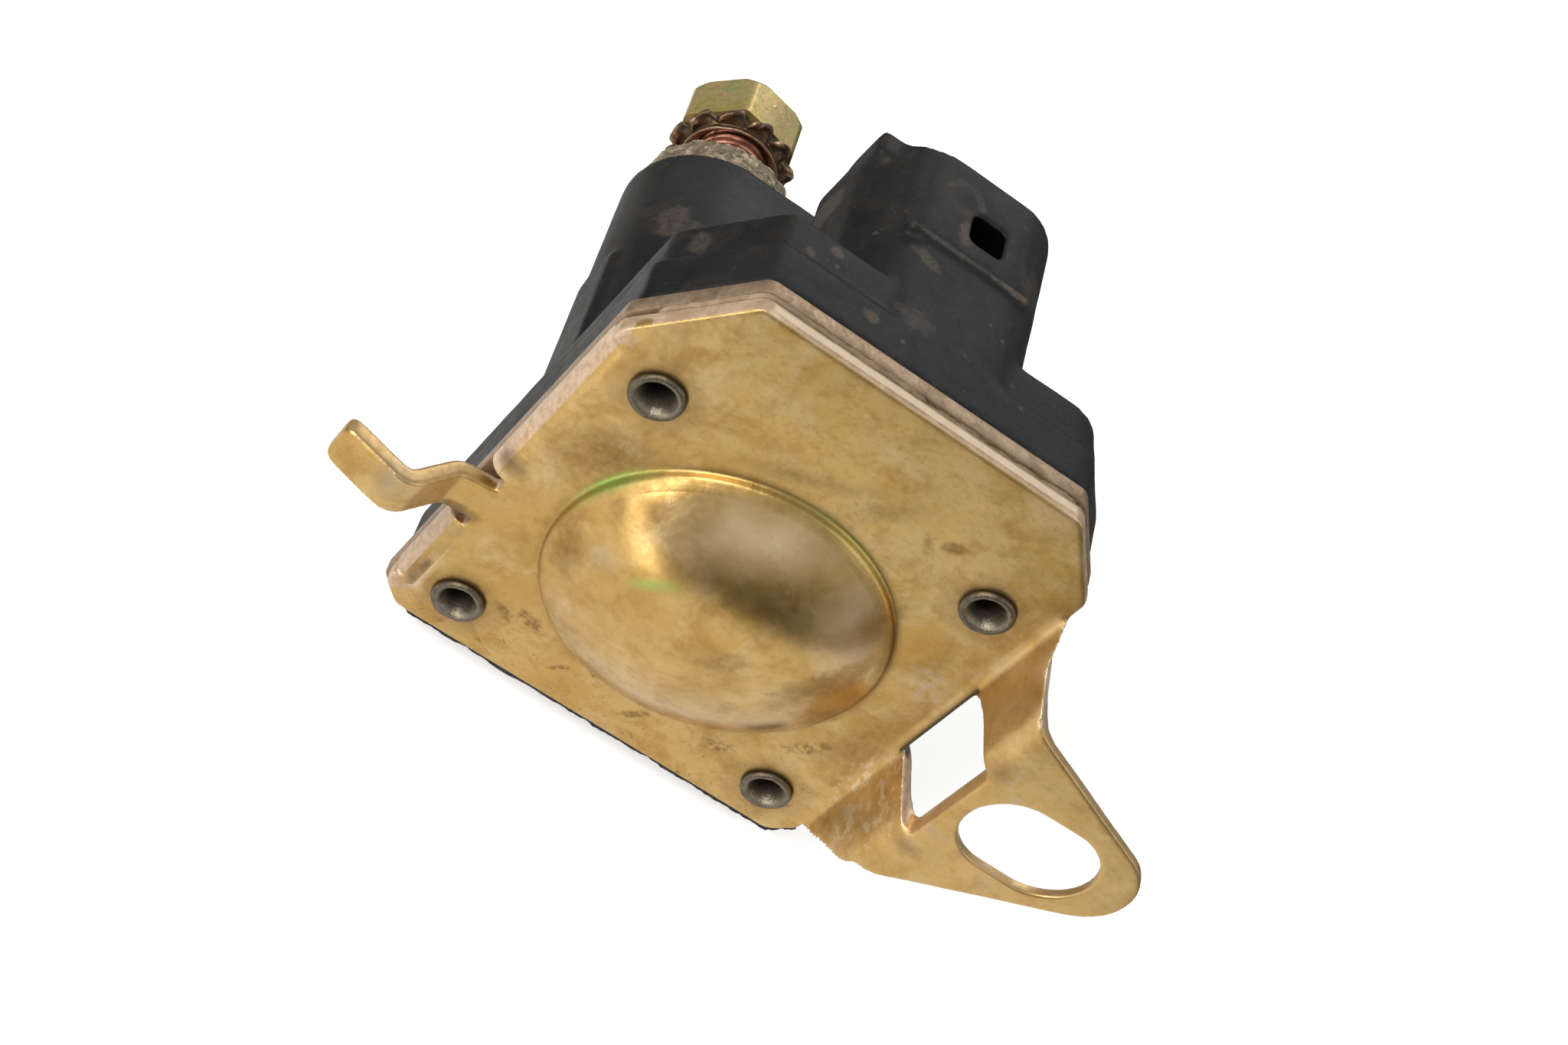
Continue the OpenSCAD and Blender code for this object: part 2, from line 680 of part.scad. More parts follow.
module shroud_shape(w, z, t) {
    translate([0, 0, z]) linear_extrude(t) polygon(rounded(shroud_points(w),
        [shroud_round_a - w, shroud_round_b - w, shroud_round_c - w / 2,
        shroud_round_c - w / 2]));
}

// Raised ridge on the shroud's front, and the square lug at its rim
module shroud_details() {
    translate([ridge_x - ridge_w / 2, -shroud_front - ridge_out, ridge_z])
        cube([ridge_w, ridge_out + cut, ridge_h]);
    translate([fit - shroud_left, lug_back - shroud_front, shroud_top + lug_up - lug_h])
        cube([lug_w, lug_l, lug_h]);
}

module housing_solid() {
    left = plate_left - flange_inset;
    right = plate_right - flange_inset;
    flange_rounds = [plate_round, plate_round, flange_round, flange_round, plate_round,
        plate_round, plate_round, plate_round];
    plate_sheet(plate_points(left, right, shroud_front, plate_back, slant_inset),
        flange_rounds, body_z, flange_t);
    plate_sheet(plate_points(left - block_inset, right - block_inset,
        shroud_front - block_inset, plate_back - block_inset, slant_inset + block_inset),
        flange_rounds, block_z - cut, block_h + cut);
    translate([0, 0, body_z]) cylinder(r = bay_r + bay_wall, h = bay_roof - body_z);
    translate([-back_w, 0, body_z]) cube([2 * back_w, back_y, bay_roof - body_z]);
    stadium(stud_x, tower_r, body_z, tower_top - body_z);
    translate([-stud_x - tower_r + fit, -rib_w, body_z])
        cube([2 * (stud_x + tower_r - fit), 2 * rib_w, rib_top - body_z]);
    shroud_shape(0, body_z, shroud_top - body_z);
    shroud_details();
}

// Where the foot of a blade ends, in the space for the coil
function blade_inner(x) = blade_reach - sqrt(pow(bay_r, 2) - pow(x, 2));

module blade(x) {
    translate([x - blade_t / 2, blade_y - blade_w / 2, blade_root]) difference() {
        cube([blade_t, blade_w, blade_tip - blade_root]);
        for (y = [0, blade_w]) translate([blade_t / 2, y, blade_tip - blade_root])
            rotate([45, 0, 0]) cube([blade_t + 2 * cut, blade_bevel, blade_bevel],
                center = true);
    }
    translate([x - blade_t / 2, blade_y, blade_root])
        cube([blade_t, blade_inner(x) - blade_y, blade_foot]);
}

module blades() {
    for (s = [-1, 1]) blade(shroud_mid + s * blade_pitch / 2);
}

// Rib inside the shroud that closes the latch window
module latch_rib() {
    half = latch_w / 2 + latch_wall;
    translate([latch_x - half, shroud_wall - fit - shroud_front, shroud_floor - cut])
        cube([2 * half, latch_d + latch_wall + fit - shroud_wall,
            latch_z + latch_h / 2 + latch_up - shroud_floor + cut]);
}

module housing() {
    pocket_y = bay_r + bay_wall;
    color("darkslategray") lay() difference() {
        union() {
            difference() {
                housing_solid();
                shroud_shape(shroud_wall, shroud_floor, shroud_top);
            }
            latch_rib();
        }
        translate([0, 0, body_z - cut]) cylinder(r = bay_r, h = bay_top + loose - body_z + cut);
        stadium(stud_x, tower_r - tower_wall, bay_top, cap_z - bay_top);
        for (x = [-stud_x, stud_x]) translate([x, 0, cap_z - cut])
            cylinder(r = stud_r + fit, h = tower_cap + 2 * cut);
        translate([-back_w + bay_wall, pocket_y, body_z - cut])
            cube([2 * (back_w - bay_wall), back_y - bay_wall - pocket_y,
                bay_roof - bay_wall - body_z + cut]);
        translate([latch_x - latch_w / 2, -plate_front, latch_z - latch_h / 2])
            cube([latch_w, front_inset + latch_d, latch_h]);
        translate([ridge_x - ridge_w / 2, -plate_front, ridge_z + ridge_h])
            cube([ridge_w, front_inset + groove_d, groove_h]);
        rivet_holes(rivet_r + fit, body_z - cut, block_top - body_z + 2 * cut);
        blades();
    }
}

// Magnet: strap yoke round the coil, bobbin, winding, guide tube and fixed core
module yoke_frame() {
    color("slategray") lay() difference() {
        union() {
            for (s = [-1, 1]) translate([s * (yoke_half + yoke_t / 2) - yoke_t / 2, -yoke_w / 2,
                body_z]) cube([yoke_t, yoke_w, yoke_h + yoke_t]);
            translate([-yoke_half, -yoke_w / 2, yoke_top])
                cube([2 * yoke_half, yoke_w, yoke_t]);
        }
        translate([0, 0, yoke_top - cut]) cylinder(r = spigot_r + fit, h = yoke_t + 2 * cut);
    }
}

module coil_bobbin() {
    core = guide_out + fit;
    hub = winding_hub;
    color("ivory") lay() rotate_extrude() polygon([[core, bobbin_z], [bobbin_r, bobbin_z],
        [bobbin_r, bobbin_z + bobbin_wall], [hub, bobbin_z + bobbin_wall],
        [hub, bobbin_top - bobbin_wall], [bobbin_r, bobbin_top - bobbin_wall],
        [bobbin_r, bobbin_top], [core, bobbin_top]]);
}

module coil_winding() {
    color("sienna") lay() translate([0, 0, bobbin_z + bobbin_wall + fit]) difference() {
        cylinder(r = winding_r, h = bobbin_top - bobbin_z - 2 * bobbin_wall - 2 * fit);
        translate([0, 0, -cut]) cylinder(r = winding_hub + fit,
            h = bobbin_top - bobbin_z + 2 * cut);
    }
}

// Two lead wires, from the winding to the inner ends of the blades
module coil_leads() {
    color("chocolate") lay() for (s = [-1, 1]) {
        x = shroud_mid + s * blade_pitch / 2;
        start = -sqrt(pow(winding_r, 2) - pow(abs(x) - lead_r, 2)) - fit;
        translate([x, start, blade_root + blade_foot / 2]) rotate([90, 0, 0])
            cylinder(r = lead_r, h = start - blade_inner(x));
    }
}

module guide_tube() {
    color("gold") lay() translate([0, 0, guide_z]) difference() {
        cylinder(r = guide_out, h = yoke_top - guide_z - 2 * fit);
        translate([0, 0, -cut]) cylinder(r = guide_in, h = yoke_top - guide_z + 2 * cut);
    }
}

module fixed_core() {
    color("silver") lay() difference() {
        union() {
            translate([0, 0, core_z]) cylinder(r = plunger_r, h = yoke_top - fit - core_z);
            translate([0, 0, core_z]) cylinder(r = spigot_r,
                h = bay_top + spigot_up - core_z);
        }
        translate([0, 0, core_z - cut]) cylinder(r = rod_r + rod_gap, h = 2 * yoke_h);
        translate([0, 0, core_z - cut]) cylinder(r = pocket_r, h = core_pocket + cut);
    }
}

// Plunger, with the push rod pressed into it
module plunger() {
    color("lightsteelblue") lay() translate([0, 0, plunger_z]) difference() {
        union() {
            translate([0, 0, plunger_bevel]) cylinder(r = plunger_r,
                h = plunger_l - plunger_bevel);
            cylinder(r1 = plunger_r - plunger_bevel, r2 = plunger_r, h = plunger_bevel);
        }
        translate([0, 0, rod_z - plunger_z]) cylinder(r = rod_r, h = plunger_l);
        translate([0, 0, plunger_l - pocket_d]) cylinder(r = pocket_r, h = plunger_l);
    }
}

module return_spring() {
    color("gray") lay() coil_spring(spring_r, wire_r, spring_lo, spring_hi, return_turns);
}

module push_rod() {
    color("khaki") lay() difference() {
        union() {
            translate([0, 0, rod_z]) cylinder(r = rod_r, h = rod_top - rod_z);
            translate([0, 0, seat_z]) cylinder(r = seat_r, h = seat_t);
        }
        translate([0, 0, clip_z]) difference() {
            cylinder(r = seat_r, h = clip_t);
            translate([0, 0, -cut]) cylinder(r = groove_r, h = clip_t + 2 * cut);
        }
    }
}

module contact_spring() {
    color("gray") lay() coil_spring(spring_r, wire_r, seat_z + seat_t + fit,
        bush_z - fit, contact_turns);
}

// Insulating bush that carries the contact bar on the rod
module contact_bush() {
    color("whitesmoke") lay() difference() {
        union() {
            translate([0, 0, bush_z]) cylinder(r = bush_r, h = bush_t);
            translate([0, 0, bush_z]) cylinder(r = sleeve_r, h = bush_end - bush_z);
        }
        translate([0, 0, bush_z - cut]) cylinder(r = rod_r + rod_gap,
            h = bush_end - bush_z + 2 * cut);
    }
}

module contact_bar() {
    color("peru") lay() translate([0, 0, bar_z]) difference() {
        linear_extrude(bar_t) polygon(rounded([[-bar_l / 2, -bar_w / 2],
            [bar_l / 2, -bar_w / 2], [bar_l / 2, bar_w / 2], [-bar_l / 2, bar_w / 2]], bar_round));
        translate([0, 0, -cut]) cylinder(r = sleeve_r + fit, h = bar_t + 2 * cut);
    }
}

module retaining_clip() {
    color("gray") lay() translate([0, 0, clip_z]) difference() {
        cylinder(r = clip_r, h = clip_t);
        translate([0, 0, -cut]) cylinder(r = groove_r, h = clip_t + 2 * cut);
        translate([-groove_r, 0, -cut]) cube([2 * groove_r, 2 * clip_r, clip_t + 2 * cut]);
    }
}

module terminal_blade(s) {
    color("silver") lay() blade(shroud_mid + s * blade_pitch / 2);
}
module left_blade() { terminal_blade(-1); }
module right_blade() { terminal_blade(1); }

// Terminals: stud with its contact head, collar, toothed washer and nut
module stud(s) {
    color("darksalmon") lay() translate([s * stud_x, 0, 0]) {
        translate([0, 0, head_z]) cylinder(r = head_r, h = head_t);
        translate([0, 0, head_z]) cylinder(r = stud_r, h = stud_top - stud_bevel - head_z);
        translate([0, 0, stud_top - stud_bevel])
            cylinder(r1 = stud_r, r2 = stud_r - stud_bevel, h = stud_bevel);
    }
}
module left_stud() { stud(-1); }
module right_stud() { stud(1); }

module collar(s) {
    color("darkkhaki") lay() translate([s * stud_x, 0, tower_top]) difference() {
        cylinder(r = collar_r, h = collar_t);
        translate([0, 0, -cut]) cylinder(r = stud_r + thread_gap, h = collar_t + 2 * cut);
    }
}
module left_collar() { collar(-1); }
module right_collar() { collar(1); }

module lock_washer(s) {
    tooth_in = (washer_r + washer_lip_r) / 2;
    color("saddlebrown") lay() translate([s * stud_x, 0, washer_z]) difference() {
        rotate_extrude() polygon([[washer_lip_r - washer_t, 0], [washer_lip_r, 0],
            [washer_r, washer_h - washer_t], [washer_r, washer_h],
            [stud_r + washer_gap, washer_h], [stud_r + washer_gap, washer_h - washer_t],
            [washer_lip_r - washer_t, washer_h - washer_t]]);
        for (i = [0:tooth_count - 1]) rotate([0, 0, 360 * i / tooth_count])
            translate([tooth_in, -tooth_gap / 2, -cut])
                cube([washer_r, tooth_gap, washer_h - washer_t / 2 + cut]);
    }
}
module left_lock_washer() { lock_washer(-1); }
module right_lock_washer() { lock_washer(1); }

module hex_nut(s) {
    corner_r = nut_flats / 2 / cos(30);
    color("darkgoldenrod") lay() translate([s * stud_x, 0, nut_z]) rotate([0, 0, nut_turn])
        difference() {
            intersection() {
                cylinder(r = corner_r, h = nut_h, $fn = 6);
                union() {
                    cylinder(r = corner_r + cut, h = nut_h - 2 * nut_bevel);
                    translate([0, 0, nut_h - 2 * nut_bevel]) cylinder(h = 2 * nut_bevel,
                        r1 = corner_r + nut_bevel, r2 = corner_r - nut_bevel);
                }
            }
            translate([0, 0, -cut]) cylinder(r = stud_r + thread_gap, h = nut_h + 2 * cut);
        }
}
module left_nut() { hex_nut(-1); }
module right_nut() { hex_nut(1); }

base_bracket();
rivets();
gasket();
flux_plate();
housing();
yoke_frame();
coil_bobbin();
coil_winding();
coil_leads();
guide_tube();
fixed_core();
plunger();
return_spring();
push_rod();
contact_spring();
contact_bush();
contact_bar();
retaining_clip();
left_blade();
right_blade();
left_stud();
right_stud();
left_collar();
right_collar();
left_lock_washer();
right_lock_washer();
left_nut();
right_nut();
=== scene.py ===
import json
import math

import bmesh
import bpy
import numpy as np
from mathutils import Matrix, Vector, noise


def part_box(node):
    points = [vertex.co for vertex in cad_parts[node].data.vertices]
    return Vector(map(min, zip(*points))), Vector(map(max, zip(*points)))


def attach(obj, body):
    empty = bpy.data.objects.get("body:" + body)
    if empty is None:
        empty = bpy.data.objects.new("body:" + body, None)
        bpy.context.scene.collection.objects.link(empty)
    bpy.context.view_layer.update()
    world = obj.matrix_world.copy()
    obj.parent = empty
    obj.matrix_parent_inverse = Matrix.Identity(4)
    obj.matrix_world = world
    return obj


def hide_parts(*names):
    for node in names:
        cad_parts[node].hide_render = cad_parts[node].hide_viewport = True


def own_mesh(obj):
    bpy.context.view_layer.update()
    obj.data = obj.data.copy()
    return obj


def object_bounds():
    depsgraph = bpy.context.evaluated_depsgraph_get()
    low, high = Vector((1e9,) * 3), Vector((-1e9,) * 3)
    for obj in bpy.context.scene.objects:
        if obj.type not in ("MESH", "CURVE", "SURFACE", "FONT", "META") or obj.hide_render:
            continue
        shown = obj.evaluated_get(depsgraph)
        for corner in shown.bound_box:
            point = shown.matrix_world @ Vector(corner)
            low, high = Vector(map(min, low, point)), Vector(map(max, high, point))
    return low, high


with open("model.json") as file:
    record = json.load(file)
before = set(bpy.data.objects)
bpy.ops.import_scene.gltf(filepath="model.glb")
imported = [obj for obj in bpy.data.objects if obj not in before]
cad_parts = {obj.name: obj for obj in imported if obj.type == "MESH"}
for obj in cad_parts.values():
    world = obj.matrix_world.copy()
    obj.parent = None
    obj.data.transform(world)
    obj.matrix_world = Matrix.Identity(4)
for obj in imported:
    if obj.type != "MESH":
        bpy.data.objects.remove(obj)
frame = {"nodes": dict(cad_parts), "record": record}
CAD_BOX = [list(corner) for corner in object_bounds()]

MM = 0.001
REST_Z = 16.25      # height on the standing part that lies at y = 0 of the row frame
BACK_Y = 29.0       # distance from the plunger's axis to the flat back


def at(x, y, z):
    """A point of the standing part, in mm, as a point of the row frame in metres."""
    return Vector((x * MM, (z - REST_Z) * MM, (BACK_Y - y) * MM))


def standing(obj):
    """The points of a piece in mm of the standing part, one row each."""
    co = np.empty(len(obj.data.vertices) * 3)
    obj.data.vertices.foreach_get("co", co)
    co = co.reshape(-1, 3) / MM
    return np.stack([co[:, 0], BACK_Y - co[:, 2], co[:, 1] + REST_Z], 1)


def stand_back(obj, p):
    """Writes points in mm of the standing part into a piece."""
    co = np.stack([p[:, 0], p[:, 2] - REST_Z, BACK_Y - p[:, 1]], 1) * MM
    obj.data.vertices.foreach_set("co", co.ravel())
    obj.data.update()


# Camera: place, the two directions of its picture and its lens, from the photograph
CAMERA_AT = Vector((-0.07298, -0.19579, 0.21451))
CAMERA_RIGHT = Vector((0.80671864, 0.20699005, 0.5534981))
CAMERA_UP = Vector((-0.52217052, 0.68821021, 0.50369103))
LENS_MM = 63.28


def make_camera():
    data = bpy.data.cameras.new("Camera")
    data.lens = LENS_MM
    data.sensor_width = 36
    data.sensor_fit = "HORIZONTAL"
    data.clip_start = 0.01
    cam = bpy.data.objects.new("Camera", data)
    right = CAMERA_RIGHT.normalized()
    back = right.cross(CAMERA_UP).normalized()
    up = back.cross(right)
    turn = Matrix((right, up, back)).transposed()
    cam.matrix_world = Matrix.Translation(CAMERA_AT) @ turn.to_4x4()
    bpy.context.scene.collection.objects.link(cam)
    bpy.context.scene.camera = cam


# Small language for materials: each helper adds one node and returns its output
class Shade:
    def __init__(self, name):
        self.mat = bpy.data.materials.new(name)
        self.mat.use_nodes = True
        self.nodes = self.mat.node_tree.nodes
        self.links = self.mat.node_tree.links
        self.bsdf = self.nodes["Principled BSDF"]
        self.coords = self.nodes.new("ShaderNodeTexCoord").outputs["Object"]
        self.edge_noise = {}

    def put(self, socket, value):
        if isinstance(value, bpy.types.NodeSocket):
            self.links.new(value, socket)
        elif hasattr(value, "__len__") and len(value) == 3 and socket.type == "RGBA":
            socket.default_value = (*value, 1)
        else:
            socket.default_value = value

    def place(self, scale=(1, 1, 1), turn=(0, 0, 0), move=(0, 0, 0)):
        n = self.nodes.new("ShaderNodeMapping")
        n.inputs["Scale"].default_value = scale
        n.inputs["Rotation"].default_value = turn
        n.inputs["Location"].default_value = move
        self.links.new(self.coords, n.inputs["Vector"])
        return n.outputs[0]

    def noise(self, per_mm, detail=4, rough=0.55, bend=0, where=None):
        n = self.nodes.new("ShaderNodeTexNoise")
        self.links.new(where or self.coords, n.inputs["Vector"])
        n.inputs["Scale"].default_value = per_mm / MM
        n.inputs["Detail"].default_value = detail
        n.inputs["Roughness"].default_value = rough
        n.inputs["Distortion"].default_value = bend
        return n.outputs["Fac"]

    def dots(self, per_mm, small, large):
        """1 at the middle of each cell of a scattered pattern, fading to 0."""
        n = self.nodes.new("ShaderNodeTexVoronoi")
        self.links.new(self.coords, n.inputs["Vector"])
        n.inputs["Scale"].default_value = per_mm / MM
        return self.band(n.outputs["Distance"], small, large, 1, 0)

    def mark(self, name):
        """A number that the mesh code stored for each point of a piece."""
        n = self.nodes.new("ShaderNodeAttribute")
        n.attribute_name = name
        return n.outputs["Fac"]

    def broken(self, name, texture, amount, lo, hi):
        """A stored mark between two limits, its edge broken up by a texture."""
        shift = self.calc("MULTIPLY_ADD", texture, amount, -amount / 2)
        return self.band(self.calc("ADD", self.mark(name), shift), lo, hi)

    def band(self, value, lo, hi, to_lo=0, to_hi=1):
        n = self.nodes.new("ShaderNodeMapRange")
        n.clamp = True
        self.put(n.inputs["Value"], value)
        n.inputs["From Min"].default_value = lo
        n.inputs["From Max"].default_value = hi
        n.inputs["To Min"].default_value = to_lo
        n.inputs["To Max"].default_value = to_hi
        return n.outputs[0]

    def calc(self, kind, a, b=0.0, c=0.0):
        n = self.nodes.new("ShaderNodeMath")
        n.operation = kind
        self.put(n.inputs[0], a)
        self.put(n.inputs[1], b)
        self.put(n.inputs[2], c)
        return n.outputs[0]

    def times(self, *values):
        out = values[0]
        for v in values[1:]:
            out = self.calc("MULTIPLY", out, v)
        return out

    def most(self, *values):
        out = values[0]
        for v in values[1:]:
            out = self.calc("MAXIMUM", out, v)
        return out

    def vec(self, kind, a, b=(0, 0, 0), out="Vector"):
        n = self.nodes.new("ShaderNodeVectorMath")
        n.operation = kind
        self.put(n.inputs[0], a)
        self.put(n.inputs[1], b)
        return n.outputs[out]

    def spot(self, point, radii, lean=0, ragged=0.0, per_mm=0.6, axis=1, soft=0.55):
        """1 in the middle of an ellipsoid round a point, fading to 0 at its ragged edge. It leans
        about one axis of the row frame, and radii are in mm."""
        turn = [0, 0, 0]
        turn[axis] = math.radians(lean)
        offset = self.vec("SUBTRACT", self.coords, tuple(at(*point)))
        n = self.nodes.new("ShaderNodeMapping")
        n.inputs["Rotation"].default_value = turn
        n.vector_type = "POINT"
        self.links.new(offset, n.inputs["Vector"])
        size = self.vec("DIVIDE", n.outputs[0], tuple(r * MM for r in radii))
        d = self.vec("LENGTH", size, out="Value")
        if ragged:
            if per_mm not in self.edge_noise:
                self.edge_noise[per_mm] = self.noise(per_mm, 5, 0.65)
            shift = self.calc("MULTIPLY_ADD", self.edge_noise[per_mm], 2 * ragged, -ragged)
            d = self.calc("ADD", d, shift)
        return self.band(d, soft, 1, 1, 0)

    def spots(self, rows, axis=1):
        """The strongest of several ragged spots. A row is a place, radii, a lean, raggedness, noise
        per mm, how far out the fading starts and the strength."""
        return self.most(*[self.times(self.spot(place, radii, lean, ragged, per_mm, axis, soft), strength)
                           for place, radii, lean, ragged, per_mm, soft, strength in rows])

    def inside(self, lo, hi, soft=0.15):
        """1 inside a box between two points of the standing part, in mm."""
        a, b = at(*lo), at(*hi)
        out = 1.0
        for axis, c in zip(range(3), self.split(self.coords)):
            low, high = min(a[axis], b[axis]), max(a[axis], b[axis])
            above = self.band(c, low - soft * MM, low)
            below = self.band(c, high, high + soft * MM, 1, 0)
            out = self.times(above, below, out)
        return out

    def mix(self, how_much, a, b):
        n = self.nodes.new("ShaderNodeMix")
        n.data_type = "RGBA"
        self.put(n.inputs["Factor"], how_much)
        self.put(n.inputs["A"], a)
        self.put(n.inputs["B"], b)
        return n.outputs["Result"]

    def layers(self, color, *rows):
        """Lays tints over a colour in turn. A row is how much and the tint."""
        for how_much, tint in rows:
            color = self.mix(how_much, color, tint)
        return color

    def split(self, vector):
        n = self.nodes.new("ShaderNodeSeparateXYZ")
        self.links.new(vector, n.inputs[0])
        return n.outputs

    def bump(self, height, strength, depth_mm, onto=None):
        n = self.nodes.new("ShaderNodeBump")
        n.inputs["Strength"].default_value = strength
        n.inputs["Distance"].default_value = depth_mm * MM
        self.links.new(height, n.inputs["Height"])
        if onto:
            self.links.new(onto, n.inputs["Normal"])
        return n.outputs[0]

    def end(self, color, rough, metal=0.0, normal=None, level=0.5):
        self.put(self.bsdf.inputs["Base Color"], color)
        self.put(self.bsdf.inputs["Roughness"], rough)
        self.put(self.bsdf.inputs["Metallic"], metal)
        self.put(self.bsdf.inputs["Specular IOR Level"], level)
        if normal:
            self.links.new(normal, self.bsdf.inputs["Normal"])
        return self.mat


RIVETS = [(x, y) for x in (-19.05, 19.05) for y in (-19.05, 19.05)]
CUP_R = 17.9        # outer radius of the bracket's cup, in mm

# Spots in the places that the photograph shows, in mm on the standing part. A row is a place, radii,
# a lean in degrees, raggedness, noise per mm, how far out the fading starts and the strength
CORNER_SHADE = (((-19, 12, 0), (12, 6, 16), 0, 0.3, 0.2, 0.1, 0.6),)
STAINS = (
    ((11.9, -1.4, -4), (6.5, 6, 3.2), 62, 0.7, 0.5, 0.1, 0.95),
    ((13.6, 3.4, -3), (4.5, 5, 2.2), 70, 0.7, 0.5, 0.1, 0.6),
    ((2.3, -0.2, -6.3), (3.4, 4, 1.7), 38, 0.9, 0.9, 0.2, 0.6),
    ((-16, 1.7, -1.8), (6.0, 4, 2.6), -62, 0.5, 0.5, 0.1, 1),
    ((12.2, -11.4, -1.6), (2.6, 4, 4.4), -30, 0.6, 0.6, 0.1, 0.9),
    ((16.0, 3.5, -1.4), (3.0, 4, 3.6), 20, 0.6, 0.5, 0.1, 0.6),
    ((4.7, -22.5, 0), (4.4, 3, 1.8), 46, 0.8, 0.7, 0.1, 0.45),
    ((11.9, -23.4, 0), (1.6, 3, 1.0), 38, 0.5, 0.9, 0.4, 0.95),
    ((9.9, -21.7, 0), (1.7, 3, 0.6), -55, 0.6, 0.9, 0.3, 0.6),
    ((-18.5, -9, 0), (8.5, 3, 5.0), 50, 0.6, 0.4, 0, 0.95),
    ((-3.5, -20.3, 0), (8, 3, 1.4), 25, 0.5, 0.6, 0, 0.7),
    ((20.3, -9.5, 0), (1.5, 3, 5), 10, 0.6, 0.6, 0.1, 0.5),
    ((22, 6, 0), (3.6, 3, 9.5), 0, 0.5, 0.4, 0.1, 0.6),
    ((-24.4, 18, 0.3), (1.0, 2, 2.6), 0, 0.8, 0.8, 0.55, 0.8),
    ((-25.5, 7.9, -0.3), (3.0, 3, 1.5), 0, 0.3, 0.8, 0.55, 0.75))
MARKS = (
    ((11.8, 17.4, 0), (2.3, 2, 1.1), 25, 0.8, 1.2, 0.55, 1),
    ((18.4, 10.6, 0), (3.2, 2, 1.0), 48, 0.9, 1.2, 0.55, 1),
    ((-6.4, 20.0, 0), (1.6, 2, 0.4), 46, 0.5, 1.4, 0.55, 1),
    ((-3.8, 17.6, 0), (2.2, 2, 0.4), -40, 0.6, 1.4, 0.55, 1),
    ((-11.9, 16.2, 0), (2.4, 2, 1.0), -20, 0.8, 1.1, 0.55, 1),
    ((-14.6, 17.2, 0), (1.9, 2, 0.8), -30, 0.8, 1.1, 0.55, 1),
    ((3.0, 19.9, 0), (2.2, 2, 0.6), 46, 0.9, 1.2, 0.55, 1))
RUBBED_PLATE = (((21.4, -6.0, 0), (3.2, 3, 4.8), 30, 0.6, 0.5, 0.1, 0.45),)
# Painted pale reflection of the sky on the upper part of the cup
PALE_CUP_REFLECTION = (
    ((-3.5, -13.0, -2.8), (11, 6, 4.6), 34, 0.2, 0.3, 0.1, 1),
    ((11.5, -9.5, -2.8), (5.5, 6, 9), 35, 0.2, 0.3, 0.1, 1))
GREEN_CUP = (((-7.8, -3.2, -5.3), (3.4, 3, 0.95), 46, 0.3, 0.6, 0.1, 0.6),)
HAZY_CUP = (((-12.6, -0.8, -3.6), (2.6, 4, 2.0), 46, 0.6, 0.5, 0.2, 0.3),)
BROWN_CUP = (
    ((11.9, -1.0, -4), (7.0, 6, 2.7), 62, 0.35, 0.5, 0.2, 1),
    ((12.0, -10.6, -1.8), (3.0, 6, 4.6), -35, 0.35, 0.5, 0.1, 1),
    ((-15.6, 2.2, -1.8), (2.4, 4, 5.0), -20, 0.4, 0.5, 0.1, 0.7))
# Painted shadow on the plate beside the cup's rim, orange-brown
AMBER_RIM_SHADOW = (((17.5, -9.5, -0.5), (3.4, 4, 6.5), -30, 0.5, 0.4, 0.1, 0.5),)
# Painted dark reflection: a curved band across the cup, stronger toward +X
PAINTED_DARK_REFLECTION = (
    ((-6.6, -5.6, -5), (3.5, 5, 2.5), 40, 0.1, 0.4, 0.05, 0.4),
    ((-4.4, -7.3, -5), (3.5, 5, 2.5), 40, 0.1, 0.4, 0.05, 0.5),
    ((-1.4, -8.3, -5), (3.5, 5, 2.5), 20, 0.1, 0.4, 0.05, 0.55),
    ((1.6, -8.6, -5), (3.5, 5, 2.5), 0, 0.1, 0.4, 0.05, 0.7),
    ((4.4, -8.3, -5), (3.5, 5, 2.5), -15, 0.1, 0.4, 0.05, 0.7),
    ((6.2, -7.8, -5), (3.5, 5, 2.5), -20, 0.1, 0.4, 0.05, 0.4))
SOOTY_LIP = (
    ((-23.9, 20.1, 0.1), (0.8, 1.5, 1.2), 0, 0.5, 0.9, 0.2, 0.75),
    ((-23.9, 17.2, 0.1), (0.6, 1.5, 1.4), 0, 0.7, 0.9, 0.2, 0.75),
    ((-25.6, 8.2, -0.3), (2.6, 2.6, 1.6), 0, 0.3, 0.8, 0.2, 0.75),
    ((-25.0, -1.2, 0.1), (3.0, 2.4, 1.8), 0, 0.3, 0.8, 0.2, 0.75))
GREY_TAB = (((-33.4, 4.2, -5.0), (2.6, 3.5, 3.4), 0, 0.5, 0.6, 0.1, 0.45),)
RUSTY_WINDOW = (
    ((29.3, 5.4, -8.8), (2.4, 2, 1.4), 0, 0.6, 0.6, 0.1, 0.6),
    ((29.0, -10.5, -8.8), (1.6, 2, 2.6), 0, 0.6, 0.6, 0.1, 0.6))
# Painted highlights on the right leg, pale and streaked
PALE_LEG_HIGHLIGHT = (
    ((26.0, -19.8, -3.4), (2.6, 2.2, 3.6), 0, 0.2, 0.5, 0.1, 0.65),
    ((27.8, -18.2, -6.9), (2.2, 1.6, 2.0), 0, 0.2, 0.5, 0.1, 0.65),
    ((26.4, -14.5, -4), (3.4, 6, 7), 0, 0.3, 0.3, 0.1, 0.35 * 0.65))
STREAKED_LEG_HIGHLIGHT = (((26.4, 9.5, -2.5), (4.4, 7, 9.5), 0, 0.4, 0.5, 0.55, 0.4),)
